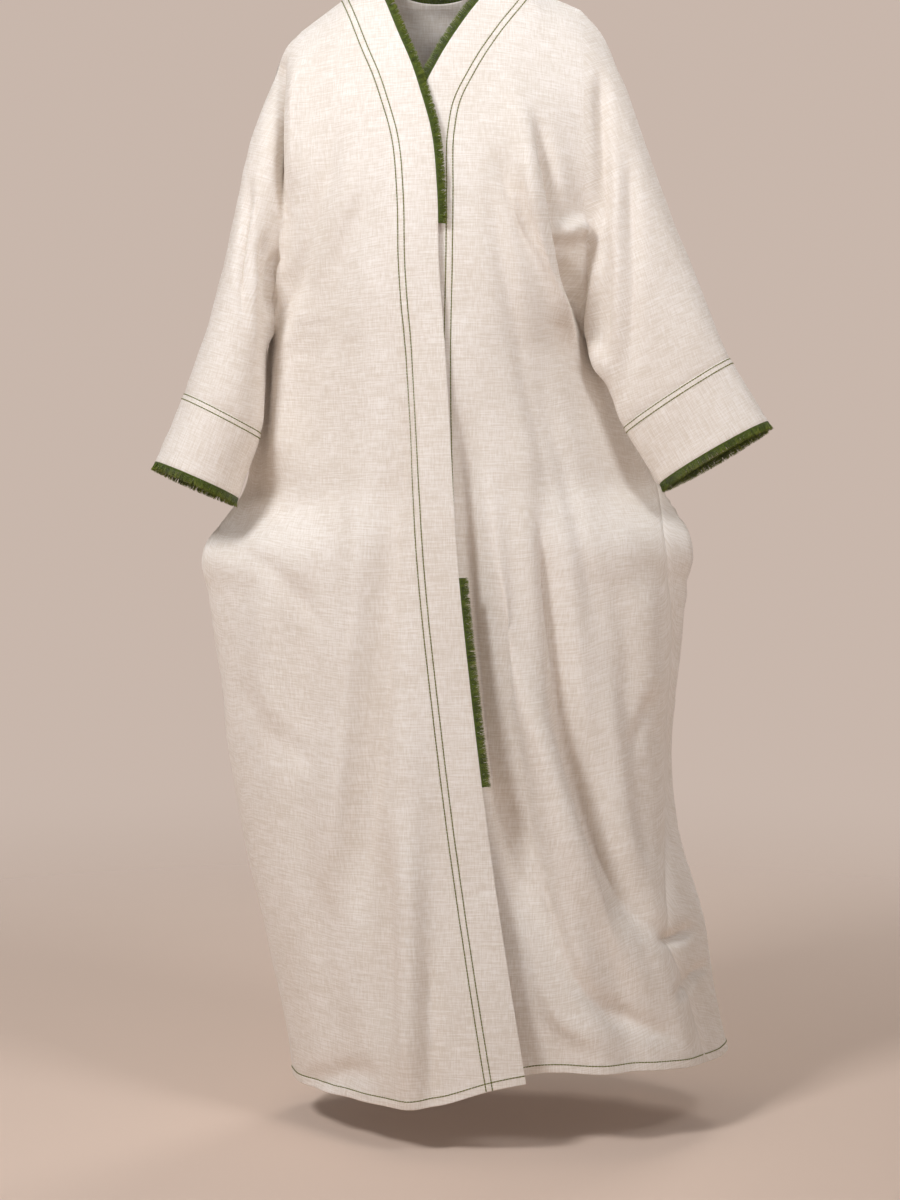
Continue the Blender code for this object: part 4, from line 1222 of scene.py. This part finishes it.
print("setting on the fringe")
trimSpans = {
    "upperEnd": -0.322,
    "underEnd": -0.190,
    "lower": (-0.756, -1.020),
}
green = fringeMaterial()
random = np.random.default_rng(fringe["seed"])
lapEdge = edgeFrame(right, right["index"][:, 0], right["index"][:, 1])
underEdge = edgeFrame(left, left["index"][:, 0], left["index"][:, 1])
neckEdge = edgeFrame(back, back["rims"][0], back["index"][1, shoulder : across - shoulder + 1])
lapTrim = [values[::-1] for values in between(lapEdge, 1, trimSpans["upperEnd"])]
neckTrim = [values[1:-1] for values in neckEdge]
underTrim = between(underEdge, 1, trimSpans["underEnd"])
cuffEnds = [edgeFrame(cuff, cuff["index"][:, -1], cuff["index"][:, -2]) for cuff in (cuffRight, cuffLeft)]
fringePieces = {
    "fringeNeck": (
        [np.concatenate(parts) for parts in zip(lapTrim, neckTrim, underTrim)],
        "trim_neck",
        "frontRightCloth",
    ),
    "fringeFrontLower": (
        between(lapEdge, *trimSpans["lower"]), "trim_front_lower", "frontRightCloth"
    ),
    "fringeCuffRight": (cuffEnds[0], "trim_cuff_right", "cuffRightCloth"),
    "fringeCuffLeft": (cuffEnds[1], "trim_cuff_left", "cuffLeftCloth"),
}
for name, (edge, node, cloth) in fringePieces.items():
    piece = threadPiece(name, fringeRun(*edge, random, "Cuff" in name), green)
    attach(piece, "root")
    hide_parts(node)
    onCloth[cloth].append(piece)

studio = {
    "floorHeight": -1.470,
    "floorReach": 150,
    "floorColour": "#EAD2C1",
    "floorFade": (0.9, 3.4),
    "backdrop": ("#FFE9DB", 0.58),
    "overhead": ("#FFF8F2", 0.17),
    "backdropFade": (0.12, 0.35),
    # name: place, height it aims at, size, power in watts, colour, spread in degrees
    "lights": {
        "key": ((-1.6, -1.95, 1.55), -0.65, 0.7, 64, "#FCFDFF", 180),
        "fill": ((1.45, -1.7, 1.6), -0.15, 0.9, 4.2, "#FAFCFF", 60),
        "back": ((1.2, 2.6, 1.7), -0.65, 1.2, 30, "#FFFCF8", 180),
    },
    "cameraPlace": (0.006, -3.6, -0.50),
    "cameraTilt": 85.3,
    "lens": 83.7,
    "sensor": 36,
}


def fadeBetween(tree, value, limits, near, far):
    # from one shader to another as a value passes from the first limit to the second
    span = {"Value": value, "From Min": limits[0], "From Max": limits[1]}
    fade = addNode(tree, "ShaderNodeMapRange", {"interpolation_type": "SMOOTHERSTEP"}, span)
    return addNode(tree, "ShaderNodeMixShader", None, {0: fade.outputs["Result"], 1: near, 2: far})


def addFloor():
    mesh = bpy.data.meshes.new("floor")
    reach, height = studio["floorReach"], studio["floorHeight"]
    corners = [(x * reach, y * reach, height) for x, y in ((-1, -1), (1, -1), (1, 1), (-1, 1))]
    mesh.from_pydata(corners, [], [(0, 1, 2, 3)])
    finish = {"Base Color": colourOf(studio["floorColour"]), "Roughness": 0.95}
    material, tree, shader = newMaterial("matt studio paper", finish)
    # the paper runs out into the pale backdrop with no line between them
    spot = addNode(tree, "ShaderNodeNewGeometry").outputs["Position"]
    away = addNode(tree, "ShaderNodeVectorMath", {"operation": "LENGTH"}, {0: spot})
    clear = addNode(tree, "ShaderNodeBsdfTransparent").outputs["BSDF"]
    paper = fadeBetween(tree, away.outputs["Value"], studio["floorFade"], shader.outputs["BSDF"], clear)
    tree.links.new(paper.outputs["Shader"], tree.nodes["Material Output"].inputs["Surface"])
    mesh.materials.append(material)
    addObject("floor", mesh)


def addSky():
    # a lit backdrop low down, and a dimmer room overhead
    world = bpy.data.worlds.new("studio")
    bpy.context.scene.world = world
    world.use_nodes = True
    tree = world.node_tree
    low, high = (
        addNode(tree, "ShaderNodeBackground", None, {"Color": colourOf(code), "Strength": strength})
        for code, strength in (studio["backdrop"], studio["overhead"])
    )
    way = addNode(tree, "ShaderNodeTexCoord").outputs["Generated"]
    rise = addNode(tree, "ShaderNodeSeparateXYZ", None, {"Vector": way}).outputs["Z"]
    ends = low.outputs["Background"], high.outputs["Background"]
    sky = fadeBetween(tree, rise, studio["backdropFade"], *ends)
    tree.links.new(sky.outputs["Shader"], tree.nodes["World Output"].inputs["Surface"])


def addLight(name, at, height, size, power, colour, spread):
    # an area light aimed at the middle of the cloak, at the given height
    data = bpy.data.lights.new(name, "AREA")
    data.size = size
    data.energy = power
    data.color = colourOf(colour)[:3]
    data.spread = math.radians(spread)
    tilt = math.atan2(math.hypot(at[0], at[1]), at[2] - height)
    addObject(name, data, at, (tilt, 0, math.atan2(-at[1], -at[0]) - math.pi / 2))


def addCamera():
    data = bpy.data.cameras.new("camera")
    data.sensor_fit = "VERTICAL"
    data.sensor_height = studio["sensor"]
    data.lens = studio["lens"]
    turn = (math.radians(studio["cameraTilt"]), 0, 0)
    bpy.context.scene.camera = addObject("camera", data, studio["cameraPlace"], turn)


print("setting up the studio")
addFloor()
addSky()
for name, settings in studio["lights"].items():
    addLight(name, *settings)
addCamera()
bpy.context.scene.view_settings.view_transform = "Standard"
